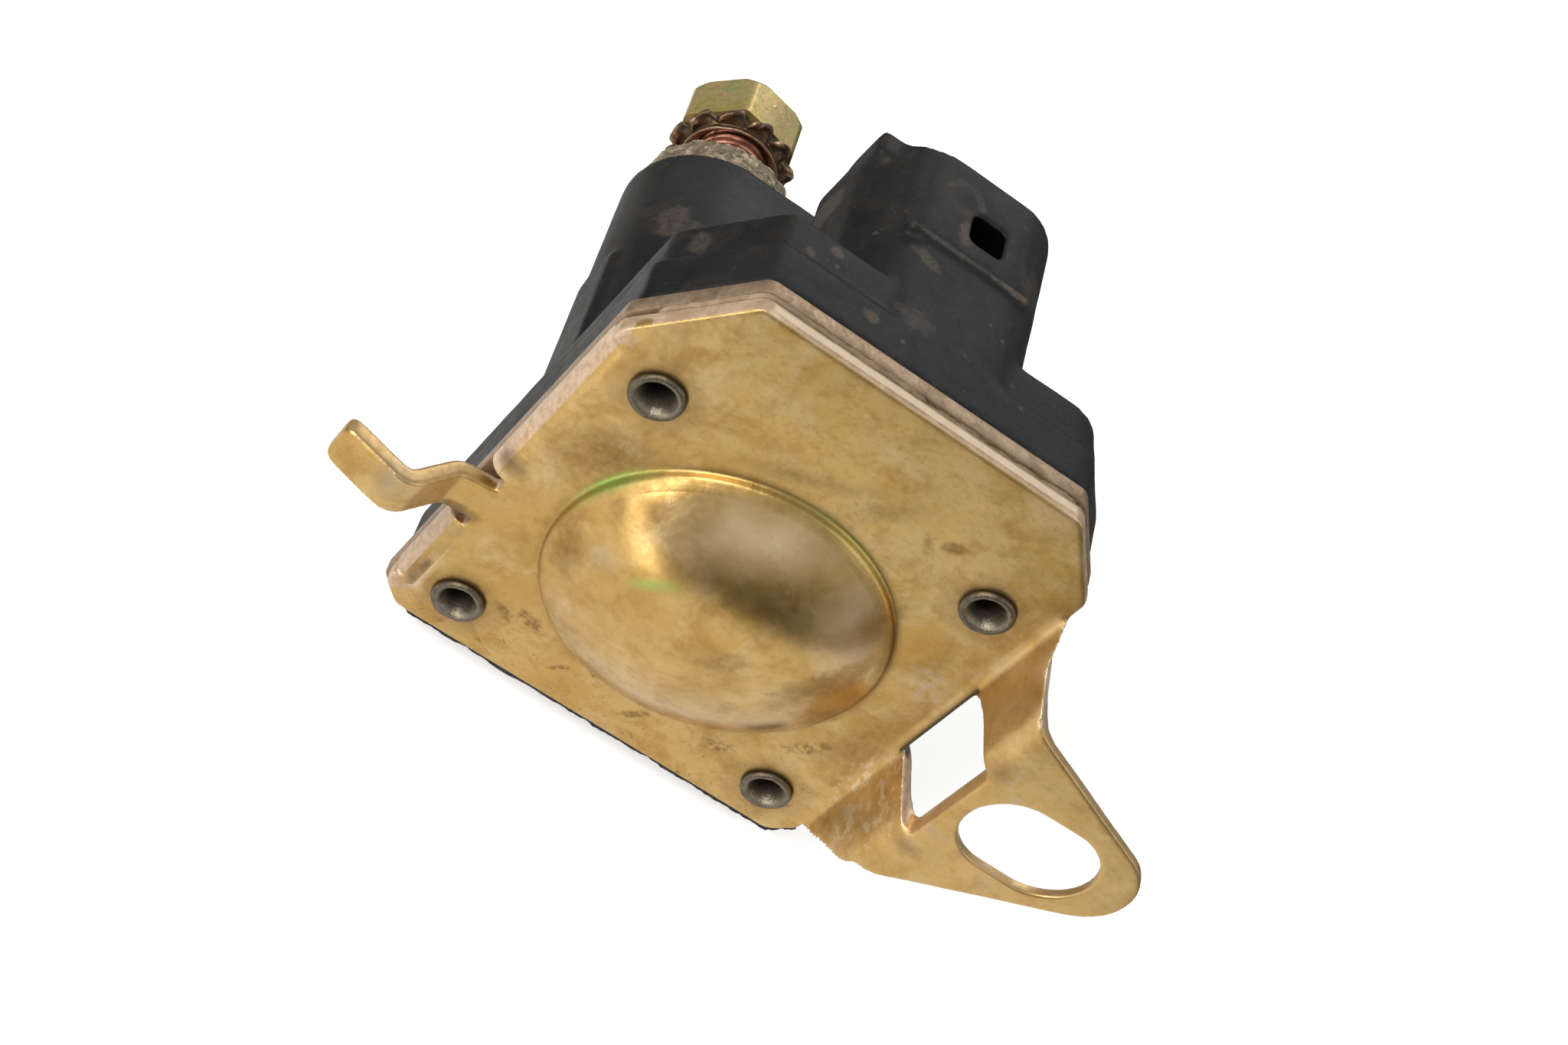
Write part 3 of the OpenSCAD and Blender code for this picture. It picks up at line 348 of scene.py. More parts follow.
SCUFFS_AND_GROOVE_HIGHLIGHT = (
    ((-0.2, -34.1, 26.7), (1.1, 2.2, 2), 0, 0.7, 0.9, 0.55, 0.8),
    ((-3.4, -34.1, 20.0), (2.5, 0.9, 2), 30, 0.5, 0.8, 0.55, 0.55),
    ((-12.1, -33.3, 14.0), (0.9, 0.9, 2), 0, 0.4, 0.8, 0.55, 0.8),
    ((-14.7, -33.3, 11.8), (0.7, 0.7, 2), 0, 0.5, 0.8, 0.55, 0.6),
    ((-7.4, -34.1, 8.1), (1.1, 0.9, 2), 0, 0.6, 0.8, 0.55, 0.7),
    ((-3.0, -34.1, 11.7), (2.4, 1.7, 2), 20, 0.8, 0.7, 0.55, 0.4),
    ((-10.5, -23.2, 31.3), (0.9, 3, 4), 0, 0.7, 0.6, 0.55, 0.6),
    ((-20.0, -7.7, 35.6), (3.4, 3, 2.4), 0, 0.8, 0.5, 0.55, 0.5),
    ((-22.6, -26.0, 12.8), (1.2, 2, 1.6), 0, 0.6, 0.8, 0.55, 0.45),
    ((8.8, -33.9, 26.5), (2.4, 3.2, 2.5), 0, 0.8, 0.7, 0.55, 0.35),
    # The last two rows are a painted highlight along the groove's lower edge under the window
    ((6.0, -34.2, 22.9), (3.4, 0.5, 1.0), 0, 0.7, 1.1, 0.55, 0.85),
    ((-1.5, -34.3, 22.9), (5.4, 0.45, 1.0), 0, 0.6, 1.1, 0.55, 0.45))
SHADED_NUTS = (
    ((-9.8, -5.4, 62), (5.4, 6, 4.6), 0, 0.1, 0.4, 0.5, 0.62),
    ((18.8, -5.4, 62), (5.4, 6, 4.6), 0, 0.1, 0.4, 0.5, 0.62))
PINK_NUT = (((-20.2, 1.5, 62.0), (2.6, 5, 4), 0, 0.5, 0.6, 0.55, 0.6),)


def gold_film(s, mid, fine, grain):
    """The plating's own colour: clouds of deep and pale gold, browner on the ear."""
    big = s.noise(0.07, 2, 0.5, 0.3)
    shifted = s.place(move=(0.3, 0.1, 0.2))
    ear = s.spot((40, -3, -8), (17, 22, 22), 0, 0.2, 0.2)
    return s.layers(
        s.mix(s.band(big, 0.38, 0.64), (0.50, 0.315, 0.095), (0.60, 0.40, 0.155)),
        (s.band(mid, 0.45, 0.75), (0.62, 0.44, 0.20)),
        (s.spots(CORNER_SHADE), (0.49, 0.305, 0.085)),
        (s.times(s.band(s.noise(0.14, 4, 0.65, 0.8), 0.5, 0.66), 0.6), (0.40, 0.235, 0.06)),
        (s.times(s.band(s.noise(0.24, 5, 0.66, 0.3), 0.5, 0.66), 0.6), (0.37, 0.205, 0.05)),
        (s.times(s.band(s.noise(0.2, 5, 0.62, 0.3, shifted), 0.54, 0.7), 0.55), (0.66, 0.49, 0.26)),
        (s.times(s.band(fine, 0.55, 0.75), 0.35), (0.34, 0.20, 0.06)),
        (s.times(s.band(grain, 0.56, 0.72), s.band(mid, 0.4, 0.6), 0.35), (0.36, 0.21, 0.065)),
        (s.times(ear, 0.45), (0.62, 0.41, 0.16)),
        (s.times(ear, s.band(s.noise(0.26, 4, 0.65, 0.3), 0.5, 0.64), 0.6), (0.42, 0.26, 0.09)),
        (s.times(ear, s.band(s.noise(0.45, 4, 0.7), 0.58, 0.7), 0.5), (0.50, 0.42, 0.33)))


def yellow_zinc():
    """Gold chromate on steel: soft blotches, stains, scratches and pale worn edges, with painted shade,
    highlights and reflections.
    """
    s = Shade("yellow_zinc")
    mid = s.noise(0.2, 4, 0.6, 0.4)
    fine = s.noise(1.3, 4, 0.6)
    grain = s.noise(6, 3, 0.6)
    cup = s.spot((0, 0, -4), (CUP_R, 9, CUP_R), soft=0.96)
    flat = s.band(cup, 0, 1, 1, 0)

    # Grime, stains and scratches, with painted shade in the cup's crease and a painted pale reflection on
    # the cup
    rings = s.most(*[s.spot((x, y, 0), (5.4, 4.5, 5.4), 0, 0.3, 0.5, 1, 0.35) for x, y in RIVETS])
    # Painted pale reflection on the upper cup, which is also less metallic there
    pale_reflection = s.times(s.spots(PALE_CUP_REFLECTION), cup, 0.5)
    stains = s.times(s.spots(STAINS), s.band(s.noise(0.75, 5, 0.7, 0.5), 0.36, 0.6, 0.4, 1))
    marks = s.spots(MARKS)
    away = s.band(s.split(s.coords)[2], (BACK_Y - 13) * MM, (BACK_Y - 22) * MM, 0.12, 1)
    pits = s.times(s.band(s.noise(1.0, 4, 0.7, 0.5), 0.62, 0.67), away)
    scratch = s.noise(0.9, 4, 0.7, 0.3, s.place((1, 1, 7), (0, math.radians(-28), 0)))
    green = s.most(s.spots(GREEN_CUP), s.times(s.mark("rim_green"), 0.75))
    color = s.layers(
        gold_film(s, mid, fine, grain),
        (s.times(rings, 0.55), (0.17, 0.095, 0.03)),
        # Painted shade in the cup's crease, darkest on its +X, -Y side
        (s.times(s.mark("crease"), 0.55), (0.22, 0.125, 0.035)),
        (pale_reflection, (0.72, 0.57, 0.40)),
        (stains, (0.27, 0.155, 0.05)),
        (s.times(marks, s.band(s.noise(1.5, 3, 0.6), 0.38, 0.56), 0.7), (0.20, 0.11, 0.035)),
        (s.times(pits, 0.75), (0.19, 0.105, 0.03)),
        (s.times(s.band(scratch, 0.68, 0.76), s.band(mid, 0.45, 0.6), 0.55), (0.72, 0.60, 0.38)),
        (s.times(s.spots(RUBBED_PLATE), s.band(s.noise(0.9, 4, 0.65), 0.42, 0.6)), (0.62, 0.53, 0.43)),
        (green, (0.30, 0.52, 0.12)),
        (s.spots(HAZY_CUP), (0.46, 0.38, 0.32)))

    # Cut edges are bare and pinkish, and dull with dust on the connector's side
    cut = s.mark("rim")
    rim = s.times(cut, s.band(mid, 0.25, 0.5, 0.7, 1))
    front = s.times(s.inside((-24.5, -37, -1), (26, -26, 3), 0.4), cut)
    bare = s.mix(s.band(fine, 0.4, 0.62), (0.60, 0.44, 0.31), (0.47, 0.33, 0.21))
    dusty = s.mix(s.band(s.noise(0.5, 4, 0.7), 0.4, 0.6), (0.42, 0.30, 0.21), (0.27, 0.175, 0.10))
    dusk = s.inside((-25.0, 9.5, -1), (-23.6, 21.5, 1.5), 0.5)
    worn = s.broken("worn", fine, 0.5, 0.3, 0.75)
    # Painted dark reflection along the plate's turned edge at the window
    turned = s.inside((24.9, -9.9, -0.6), (26.6, 3.1, 2.2), 0.6)
    streaks = s.band(s.noise(1.1, 3, 0.6, 0.4, s.place((1.5, 0.35, 0.6))), 0.53, 0.6)
    color = s.layers(
        color,
        (rim, bare),
        (s.times(front, 0.8), dusty),
        (s.spots(SOOTY_LIP), (0.12, 0.085, 0.045)),
        (s.spots(GREY_TAB), (0.30, 0.29, 0.24)),
        (s.spots(RUSTY_WINDOW), (0.25, 0.15, 0.07)),
        (s.times(dusk, s.band(mid, 0.35, 0.6, 0.4, 1), 0.4), (0.36, 0.255, 0.15)),
        (s.times(worn, flat, 0.6), (0.80, 0.66, 0.47)),
        # Painted dark reflection on the turned edge
        (s.times(turned, turned, 0.9), (0.035, 0.022, 0.008)),
        # Painted highlights on the right leg
        (s.spots(PALE_LEG_HIGHLIGHT), (0.78, 0.64, 0.42)),
        (s.times(s.spots(STREAKED_LEG_HIGHLIGHT), streaks), (0.80, 0.70, 0.52)),
        (s.times(s.spots(BROWN_CUP), cup, 0.65), (0.28, 0.15, 0.03)),
        # Painted shadow beside the cup's rim
        (s.spots(AMBER_RIM_SHADOW), (0.42, 0.23, 0.05)),
        # Painted dark reflection across the cup
        (s.times(s.spots(PAINTED_DARK_REFLECTION), 0.75), (0.13, 0.105, 0.05)))

    cloudy = s.band(s.calc("ADD", fine, mid), 0.7, 1.3, 0.30, 0.44)
    rough = s.calc("ADD", cloudy, s.times(stains, 0.2))
    rough = s.calc("SUBTRACT", rough, s.times(cup, 0.15))
    rough = s.calc("ADD", rough, s.times(front, 0.35))
    grit = s.times(flat, s.calc("ADD", s.times(grain, 0.05), s.times(fine, 0.3)))
    relief = s.calc("ADD", s.times(mid, s.band(cup, 0, 1, 0.75, 0.3)), grit)
    relief = s.calc("SUBTRACT", relief, s.times(s.most(marks, pits), flat, 0.25))
    shine = s.band(s.most(rim, s.times(pale_reflection, 1.3)), 0, 1, 0.86, 0.4)
    shine = s.times(shine, s.band(front, 0, 1, 1, 0.1))
    return s.end(color, rough, shine, s.bump(relief, 0.35, 0.22))


def plain_metal(name, light, dark, rough_lo, rough_hi, per_mm=0.8, metal=1.0):
    """An even surface, of metal or of plastic, with faint clouds."""
    s = Shade(name)
    cloud = s.noise(per_mm, 5, 0.6, 1.0)
    fine = s.noise(per_mm * 6, 3, 0.6)
    color = s.mix(s.band(cloud, 0.38, 0.66), light, dark)
    rough = s.band(fine, 0.3, 0.7, rough_lo, rough_hi)
    return s.end(color, rough, metal, s.bump(fine, 0.3, 0.08))


def worn_metal(name, low, high, grime, rough_lo, rough_hi, metal=0.9, amount=1.0, relief=0.5,
               rim_highlight=0.4, crumbs=0.0):
    """Metal that is bright on its raised edges and grimy in its hollows. Its marked rim gets a painted
    highlight of the given strength and less grime, and crumbs is how much loose dirt it carries."""
    s = Shade(name)
    cloud = s.noise(0.7, 5, 0.65, 0.6)
    fine = s.noise(3.2, 4, 0.65)
    rim = s.mark("rim")
    dirt = s.times(s.broken("hollow", fine, 0.9, 0.12, 0.45), s.band(rim, 0, 1, 1, 0.3))
    color = s.layers(
        s.mix(s.band(cloud, 0.4, 0.62), low, tuple(0.6 * c for c in low)),
        (s.times(s.broken("worn", fine, 0.8, 0.2, 0.62), amount), high),
        # Painted highlight on the marked rim
        (s.times(rim, rim_highlight), high),
        (dirt, grime))
    if crumbs:
        color = s.layers(
            color,
            (s.times(s.band(s.noise(0.9, 5, 0.75, 0.4), 0.52, 0.6), crumbs), high),
            (s.times(s.band(s.noise(1.5, 4, 0.7), 0.56, 0.66), crumbs), grime))
    color = s.mix(s.times(s.mark("inside"), 0.85), color, (0.27, 0.115, 0.05))
    rough = s.calc("ADD", s.band(fine, 0.3, 0.7, rough_lo, rough_hi), s.times(dirt, 0.25))
    shine = s.band(dirt, 0, 1, metal, 0.1)
    return s.end(color, rough, shine, s.bump(fine, relief, 0.16))


def nut_zinc():
    """Yellow zinc with a green tinge, fine chips and dark specks."""
    s = Shade("nut_zinc")
    cloud = s.noise(0.16, 3, 0.5, 0.9)
    small = s.noise(0.7, 4, 0.6, 0.6)
    fine = s.noise(3, 3, 0.6)
    color = s.layers(
        s.mix(s.band(cloud, 0.36, 0.52), (0.46, 0.36, 0.105), (0.52, 0.37, 0.16)),
        (s.band(cloud, 0.52, 0.66), (0.36, 0.385, 0.135)),
        (s.times(s.band(small, 0.5, 0.7), 0.55), (0.56, 0.40, 0.16)),
        (s.times(s.band(s.noise(1.0, 5, 0.7, 0.8), 0.48, 0.62), 0.5), (0.30, 0.215, 0.07)),
        (s.times(s.band(s.noise(2.2, 4, 0.7, 0.5), 0.55, 0.68), 0.5), (0.62, 0.52, 0.28)),
        (s.spots(PINK_NUT), (0.66, 0.46, 0.34)),
        (s.spots(SHADED_NUTS, axis=2), (0.20, 0.155, 0.045)),
        (s.times(s.band(s.noise(1.2, 4, 0.7, 0.9), 0.65, 0.69), 0.8), (0.80, 0.72, 0.54)),
        (s.times(s.broken("worn", small, 0.9, 0.35, 0.8), 0.5), (0.70, 0.56, 0.36)),
        (s.times(s.band(s.noise(1.1, 5, 0.7, 0.6), 0.61, 0.68), 0.7), (0.15, 0.095, 0.035)))
    rough = s.band(fine, 0.3, 0.7, 0.28, 0.42)
    return s.end(color, rough, 0.62, s.bump(s.calc("ADD", fine, small), 0.25, 0.1))


def black_plastic():
    """Glass-filled black plastic: matt, brown dust on its edges, pale scuffs and specks, painted shade in
    the window and the groove, and a painted highlight under the groove.
    """
    s = Shade("black_plastic")
    cloud = s.noise(0.09, 4, 0.6, 0.4)
    mid = s.noise(0.5, 5, 0.65, 0.5)
    fine = s.noise(2.6, 4, 0.65)
    film = s.times(s.band(s.noise(0.17, 5, 0.6, 0.8), 0.42, 0.66), s.band(mid, 0.35, 0.65), 0.38)
    grit = s.times(s.band(fine, 0.6, 0.7), s.band(s.noise(0.25, 4, 0.6), 0.45, 0.6))
    tower = s.spot((-8, -10, 42), (26, 11, 13), 0, 0.2, 0.1, 1, 0.4)
    # A faint ring on the shroud joins the scuffs
    ring = s.vec("DISTANCE", s.coords, tuple(at(-1.3, -34.1, 31.2)), "Value")
    ring = s.calc("ABSOLUTE", s.calc("SUBTRACT", ring, 1.9 * MM))
    ring = s.times(s.band(ring, 0.3 * MM, 0.7 * MM, 1, 0), s.band(mid, 0.38, 0.6), 0.5)
    patchy = s.band(s.noise(0.9, 3, 0.6), 0.3, 0.65, 0.4, 1)
    # Pale scuffs, and a painted highlight under the groove
    tan = s.times(s.most(s.spots(SCUFFS_AND_GROOVE_HIGHLIGHT, axis=2), ring), s.band(fine, 0.3, 0.7, 0.35, 1), patchy, 0.8)
    specks = s.times(s.dots(0.34, 0.04, 0.13), s.band(s.noise(0.3, 2), 0.5, 0.6))
    # The groove under the window gets a painted shadow, and the window itself painted shade, both near
    # black
    groove = s.spot((0.8, -33.9, 23.8), (7.6, 0.9, 1.4), 0, 0.25, 0.9, 2, 0.6)
    window_shade = s.inside((-0.1, -30.4, 26.0), (4.3, -33.75, 30.6), 0.2)
    color = s.layers(
        s.mix(s.band(cloud, 0.35, 0.7), (0.0068, 0.0070, 0.0074), (0.0130, 0.0130, 0.0134)),
        (film, (0.050, 0.040, 0.032)),
        (s.times(s.broken("worn", mid, 0.9, 0.22, 0.7), 0.5), (0.095, 0.074, 0.056)),
        (s.times(s.broken("hollow", mid, 0.7, 0.25, 0.7), 0.4), (0.065, 0.050, 0.036)),
        (s.times(grit, 0.5), (0.060, 0.050, 0.040)),
        (s.times(tower, 0.5), (0.040, 0.040, 0.040)),
        (tan, (0.19, 0.15, 0.11)),
        (s.times(specks, 0.5), (0.12, 0.098, 0.076)),
        (s.times(s.dots(1.3, 0.06, 0.14), s.band(mid, 0.46, 0.6), 0.6), (0.11, 0.09, 0.07)),
        # Painted shadow in the groove and painted shade in the window
        (s.times(groove, 0.9), (0.004, 0.004, 0.004)),
        (window_shade, (0.0015, 0.0015, 0.0015)))
    rough = s.calc("ADD", s.band(s.calc("ADD", cloud, mid), 0.7, 1.3, 0.42, 0.60), s.times(tan, 0.2))
    relief = s.calc("ADD", s.times(fine, 0.35), s.times(mid, 0.9))
    return s.end(color, rough, 0.0, s.bump(relief, 0.30, 0.22), s.band(window_shade, 0, 1, 0.20, 0.02))


def gasket_rubber():
    s = Shade("gasket_rubber")
    cloud = s.noise(0.8, 5, 0.65)
    base = s.mix(s.band(cloud, 0.4, 0.65), (0.016, 0.015, 0.013), (0.05, 0.042, 0.032))
    packed = s.spot((-25, -30, 2.3), (13, 4, 13), 0, 0.15, 0.5)
    color = s.mix(s.times(packed, 0.95), base, (0.50, 0.375, 0.27))
    front = s.band(s.split(s.coords)[2], (BACK_Y + 22) * MM, (BACK_Y + 25) * MM)
    color = s.mix(s.times(front, s.band(cloud, 0.35, 0.6, 0.55, 1)), color, (0.26, 0.175, 0.11))
    return s.end(color, 0.75, 0.0, s.bump(cloud, 0.5, 0.2), 0.3)


# Mesh code
def new_piece(name, points, faces):
    """A piece from points in mm of the standing part."""
    me = bpy.data.meshes.new(name)
    me.from_pydata([at(*p) for p in points], [], faces)
    obj = bpy.data.objects.new(name, me)
    bpy.context.scene.collection.objects.link(obj)
    bm = bmesh.new()
    bm.from_mesh(me)
    bmesh.ops.recalc_face_normals(bm, faces=bm.faces)
    bm.to_mesh(me)
    bm.free()
    return obj


def add_rings(rings, points, faces):
    """Joins a closed row of rings, each a closed loop of the same count, into quads."""
    count, turns = len(rings[0]), len(rings)
    first = len(points)
    for loop in rings:
        points.extend(loop)
    for i in range(turns):
        here, there = first + i * count, first + (i + 1) % turns * count
        for k in range(count):
            m = (k + 1) % count
            faces.append((here + k, there + k, there + m, here + m))


def lathe(name, places, profile, sides, shape=None):
    """Turns a closed profile of (radius, height) round an axis at each place. shape(r, z, angle, seed)
    may move a point, which gives teeth, flats, threads and ragged edges."""
    points, faces = [], []
    for seed, (cx, cy) in enumerate(places):
        rings = []
        for r, z in profile:
            loop = []
            for k in range(sides):
                a = 2 * math.pi * k / sides
                rr, zz = shape(r, z, a, seed) if shape else (r, z)
                loop.append((cx + rr * math.cos(a), cy + rr * math.sin(a), zz))
            rings.append(loop)
        add_rings(rings, points, faces)
    return new_piece(name, points, faces)


def fine_profile(corners, radius, step=0.22):
    """Closed profile with rounded corners, cut to short steps."""
    out = []
    n = len(corners)
    for i in range(n):
        a, b, c = (Vector(corners[j % n]) for j in (i - 1, i, i + 1))
        u, v = (a - b), (c - b)
        cutoff = min(radius, 0.45 * u.length, 0.45 * v.length)
        start, end = b + u.normalized() * cutoff, b + v.normalized() * cutoff
        for t in (0, 0.25, 0.5, 0.75, 1):
            out.append(start * (1 - t) ** 2 + b * 2 * t * (1 - t) + end * t ** 2)
    full = []
    for i, p in enumerate(out):
        q = out[(i + 1) % len(out)]
        parts = max(1, math.ceil((q - p).length / step))
        full.extend(tuple(p.lerp(q, k / parts)) for k in range(parts))
    return full


def rough_at(x, y, z, scale, seed=0.0):
    """Uneven height at a point, about -1 to 1, for bumps of 1 / scale mm."""
    return noise.fractal(Vector((x * scale + 7 * seed, y * scale, z * scale)), 1.0, 2.0, 4)


def apply_all(obj):
    """Turns the modifiers of a piece into its mesh."""
    graph = bpy.context.evaluated_depsgraph_get()
    me = bpy.data.meshes.new_from_object(obj.evaluated_get(graph))
    obj.modifiers.clear()
    old = obj.data
    obj.data = me
    bpy.data.meshes.remove(old)


def edge_ends(me):
    """The two points of each edge."""
    ends = np.empty(len(me.edges) * 2, dtype=np.int64)
    me.edges.foreach_get("vertices", ends)
    return ends.reshape(-1, 2)


def spread(values, ends, count):
    """Mean of each point's neighbours."""
    total = np.zeros((count,) + values.shape[1:])
    for a, b in ((0, 1), (1, 0)):
        for c in range(values.shape[1]):
            total[:, c] += np.bincount(ends[:, a], weights=values[ends[:, b], c], minlength=count)
    n = np.bincount(ends.ravel(), minlength=count).clip(1)
    return total / n[:, None]


def relax(obj, rounds, hold=None):
    """Softens every edge of a piece. hold is how firmly each point stays, 0 to 1."""
    p = standing(obj)
    ends = edge_ends(obj.data)
    pull = 0.5 * (1 - hold)[:, None] if hold is not None else 0.5
    for _ in range(rounds):
        p = p + pull * (spread(p, ends, len(p)) - p)
    stand_back(obj, p)


def store(obj, name, values):
    """Stores a number from 0 to 1 for each point, which a material reads by its name."""
    attr = obj.data.attributes.new(name, "FLOAT", "POINT")
    attr.data.foreach_set("value", np.clip(values, 0, 1).astype(np.float32))


def mark_wear(obj, reach=2, gain=3.0):
    """Stores how raised and how hollow each point lies against the ones round it."""
    me = obj.data
    p = standing(obj)
    normals = np.empty(len(p) * 3)
    me.vertices.foreach_get("normal", normals)
    n = normals.reshape(-1, 3)
    n = np.stack([n[:, 0], -n[:, 2], n[:, 1]], 1)
    ends = edge_ends(me)
    q = p
    for _ in range(reach + 1):
        q = spread(q, ends, len(p))
    size = np.linalg.norm(p[ends[:, 0]] - p[ends[:, 1]], axis=1).mean()
    bend = ((p - q) * n).sum(1)[:, None] / size
    for _ in range(reach):
        bend = 0.5 * (bend + spread(bend, ends, len(p)))
    store(obj, "worn", gain * bend[:, 0])
    store(obj, "hollow", -gain * bend[:, 0])
    return p, n


def body_of(node):
    for body, nodes in frame["record"]["behaviour"]["bodies"].items():
        if node in nodes:
            return body
    raise ValueError(node)


def tidy_copy(node, whole=True):
    """A copy of a node's mesh with its doubled points joined and its flat faces whole."""
    me = frame["nodes"][node].data.copy()
    me.name = node + "_skin"
    me.materials.clear()
    bm = bmesh.new()
    bm.from_mesh(me)
    bmesh.ops.remove_doubles(bm, verts=bm.verts, dist=2e-6)
    if whole:
        bmesh.ops.dissolve_limit(bm, angle_limit=math.radians(0.6), verts=bm.verts, edges=bm.edges)
    bm.to_mesh(me)
    bm.free()
    obj = bpy.data.objects.new(node + "_skin", me)
    bpy.context.scene.collection.objects.link(obj)
    return obj


def moulded(node, voxel_mm, rounds, keep, hold=None):
    """A node's shape with soft edges all over: even small faces, smoothed, then thinned out."""
    obj = tidy_copy(node, False)
    mod = obj.modifiers.new("even", "REMESH")
    mod.mode = "VOXEL"
    mod.voxel_size = voxel_mm * MM
    apply_all(obj)
    relax(obj, rounds, hold(standing(obj)) if hold else None)
    mod = obj.modifiers.new("thin", "DECIMATE")
    mod.ratio = keep
    apply_all(obj)
    return obj


def soften(obj, width_mm):
    """Rounds the sharp edges of a piece."""
    mod = obj.modifiers.new("edges", "BEVEL")
    mod.width = width_mm * MM
    mod.segments = 2
    mod.limit_method = "ANGLE"
    mod.angle_limit = math.radians(32)
    mod.use_clamp_overlap = False
    mod.miter_outer = "MITER_ARC"
    apply_all(obj)


def shade(obj, mat, angle):
    """Smooth shading, with sharp edges where the faces meet at more than an angle."""
    obj.data.materials.clear()
    obj.data.materials.append(mat)
    obj.data.shade_smooth()
    bm = bmesh.new()
    bm.from_mesh(obj.data)
    for e in bm.edges:
        e.smooth = len(e.link_faces) != 2 or e.calc_face_angle(0) < math.radians(angle)
    bm.to_mesh(obj.data)
    bm.free()


SLOTS = {part["node"]: part["material_slot"] for part in frame["record"]["subparts"]}


def stands_for(obj, node, angle=40):
    """Keeps a finished piece in the CAD box, gives it its material and its body, and hides the node it
    stands for.
    """
    co = np.empty(len(obj.data.vertices) * 3)
    obj.data.vertices.foreach_get("co", co)
    obj.data.vertices.foreach_set("co", np.clip(co.reshape(-1, 3), CAD_BOX[0], CAD_BOX[1]).ravel())
    shade(obj, MATS[SLOTS[node]], angle)
    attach(obj, body_of(node))
    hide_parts(node)
    return obj


MATS = {
    "yellow_zinc": yellow_zinc(),
    "rivet_steel": worn_metal("rivet_steel", (0.16, 0.13, 0.09), (0.46, 0.44, 0.36), (0.04, 0.031, 0.021),
                              0.25, 0.42, 0.8, 0.7, rim_highlight=0.15),
    "gasket_rubber": gasket_rubber(),
    "flux_steel": plain_metal("flux_steel", (0.42, 0.305, 0.205), (0.27, 0.18, 0.11), 0.4, 0.6, 0.5, 0.75),
    "black_plastic": black_plastic(),
    "soft_iron": plain_metal("soft_iron", (0.5, 0.5, 0.48), (0.4, 0.4, 0.38), 0.25, 0.4),
    "bobbin_plastic": plain_metal("bobbin_plastic", (0.72, 0.67, 0.55), (0.62, 0.56, 0.46), 0.5, 0.6, 1, 0),
    "enamel_copper": plain_metal("enamel_copper", (0.42, 0.15, 0.06), (0.32, 0.11, 0.045), 0.2, 0.35),
    "yellow_brass": plain_metal("yellow_brass", (0.62, 0.46, 0.18), (0.5, 0.36, 0.14), 0.25, 0.4),
    "spring_steel": plain_metal("spring_steel", (0.45, 0.45, 0.45), (0.32, 0.32, 0.32), 0.25, 0.4),
    "copper": worn_metal("copper", (0.80, 0.36, 0.25), (0.90, 0.52, 0.40), (0.34, 0.14, 0.09),
                         0.28, 0.42, 0.8, 1, 0.3),
    "tinned_brass": plain_metal("tinned_brass", (0.68, 0.66, 0.60), (0.55, 0.53, 0.47), 0.25, 0.4),
    "dirty_steel": worn_metal("dirty_steel", (0.27, 0.215, 0.135), (0.66, 0.54, 0.37), (0.05, 0.036, 0.022),
                              0.4, 0.62, 0.45, 0.9, 1.0, crumbs=0.7),
    "washer_bronze": worn_metal("washer_bronze", (0.13, 0.078, 0.044), (0.50, 0.35, 0.22),
                                (0.016, 0.010, 0.006), 0.3, 0.5, 0.85, 0.75),
    "nut_zinc": nut_zinc(),
}


# Bracket, with the marks of its cut edges, crease and green rim. The lengths are in mm along X
LEGS = (24.2, 29.6)         # where the legs bend down from the plate to the ear
EAR_FROM = 28.2
LIP = (-26.2, -23.6)        # the turned-up edge beside the tab
TAB_MIDDLE_Y, TAB_HALF = 5.5, 4
CUP_FACE_R = 16.8           # the cup's outer face inside its crease


def thin_ear(p):
    """The photograph shows a thinner ear than the plate, so its hidden side comes closer."""
    near = np.percentile(p[p[:, 0] > 32, 2], 2)
    ear = np.clip((p[:, 0] - EAR_FROM) / 2.3, 0, 1) * (p[:, 2] < near + 2.2)
    p[:, 2] += 0.36 * ear * (near - p[:, 2])


def smooth_cup(p, n):
    """The cup is round, so its outer face takes one smooth curve."""
    r = np.hypot(p[:, 0], p[:, 1])
    face = (r < CUP_FACE_R) & (n[:, 2] < -0.5)
    curve = np.polynomial.Chebyshev.fit(r[face] ** 2, p[face, 2], 8)
    share = np.clip((CUP_FACE_R - r) / 0.8, 0, 1) * face
    p[:, 2] += share * (curve(r ** 2) - p[:, 2])


def mark_bracket(obj, p, n):
    """Stores where the cut edges, the painted shade of the cup's crease and its green rim are."""
    x, y, z = p.T
    r = np.hypot(x, y)
    flat = ((x < 24.9) & (x > -24.0) & (r > 19)) | (x > 28.6)
    side = np.abs(n[:, 2]) < 0.5
    leg = (x >= 24.9) & (x <= 28.6) & (np.abs(n[:, 1]) > 0.6)
    beside_tab = np.abs(y - TAB_MIDDLE_Y) > TAB_HALF
    lip = (x > LIP[0]) & (((x < LIP[1]) & (z > 0.9)) | ((x < -24.9) & (z > -0.1) & beside_tab))
    tab = (x < -26) & (np.abs(n[:, 1]) > 0.6)
    store(obj, "rim", ((flat & side) | leg | lip | tab) * np.where((x > 28) | (x < -26), 0.3, 1.0))
    # The crease mark is painted shade, darkest on the cup's +X, -Y side
    ring = np.exp(-((r - CUP_R) / 0.55) ** 2) * (z < 0.6) * (z > -1.6)
    store(obj, "crease", ring * (0.35 + 0.65 * (np.sin(np.arctan2(y, x) + 2.4) * 0.5 + 0.5)))
    turn = np.degrees(np.arctan2(-y, x))
    arc = np.exp(-((turn - 158) / 13) ** 2) + 0.3 * np.exp(-((turn - 78) / 26) ** 2)
    store(obj, "rim_green", np.exp(-((r - 17.8) / 0.45) ** 2) * arc * (z < 0.4))


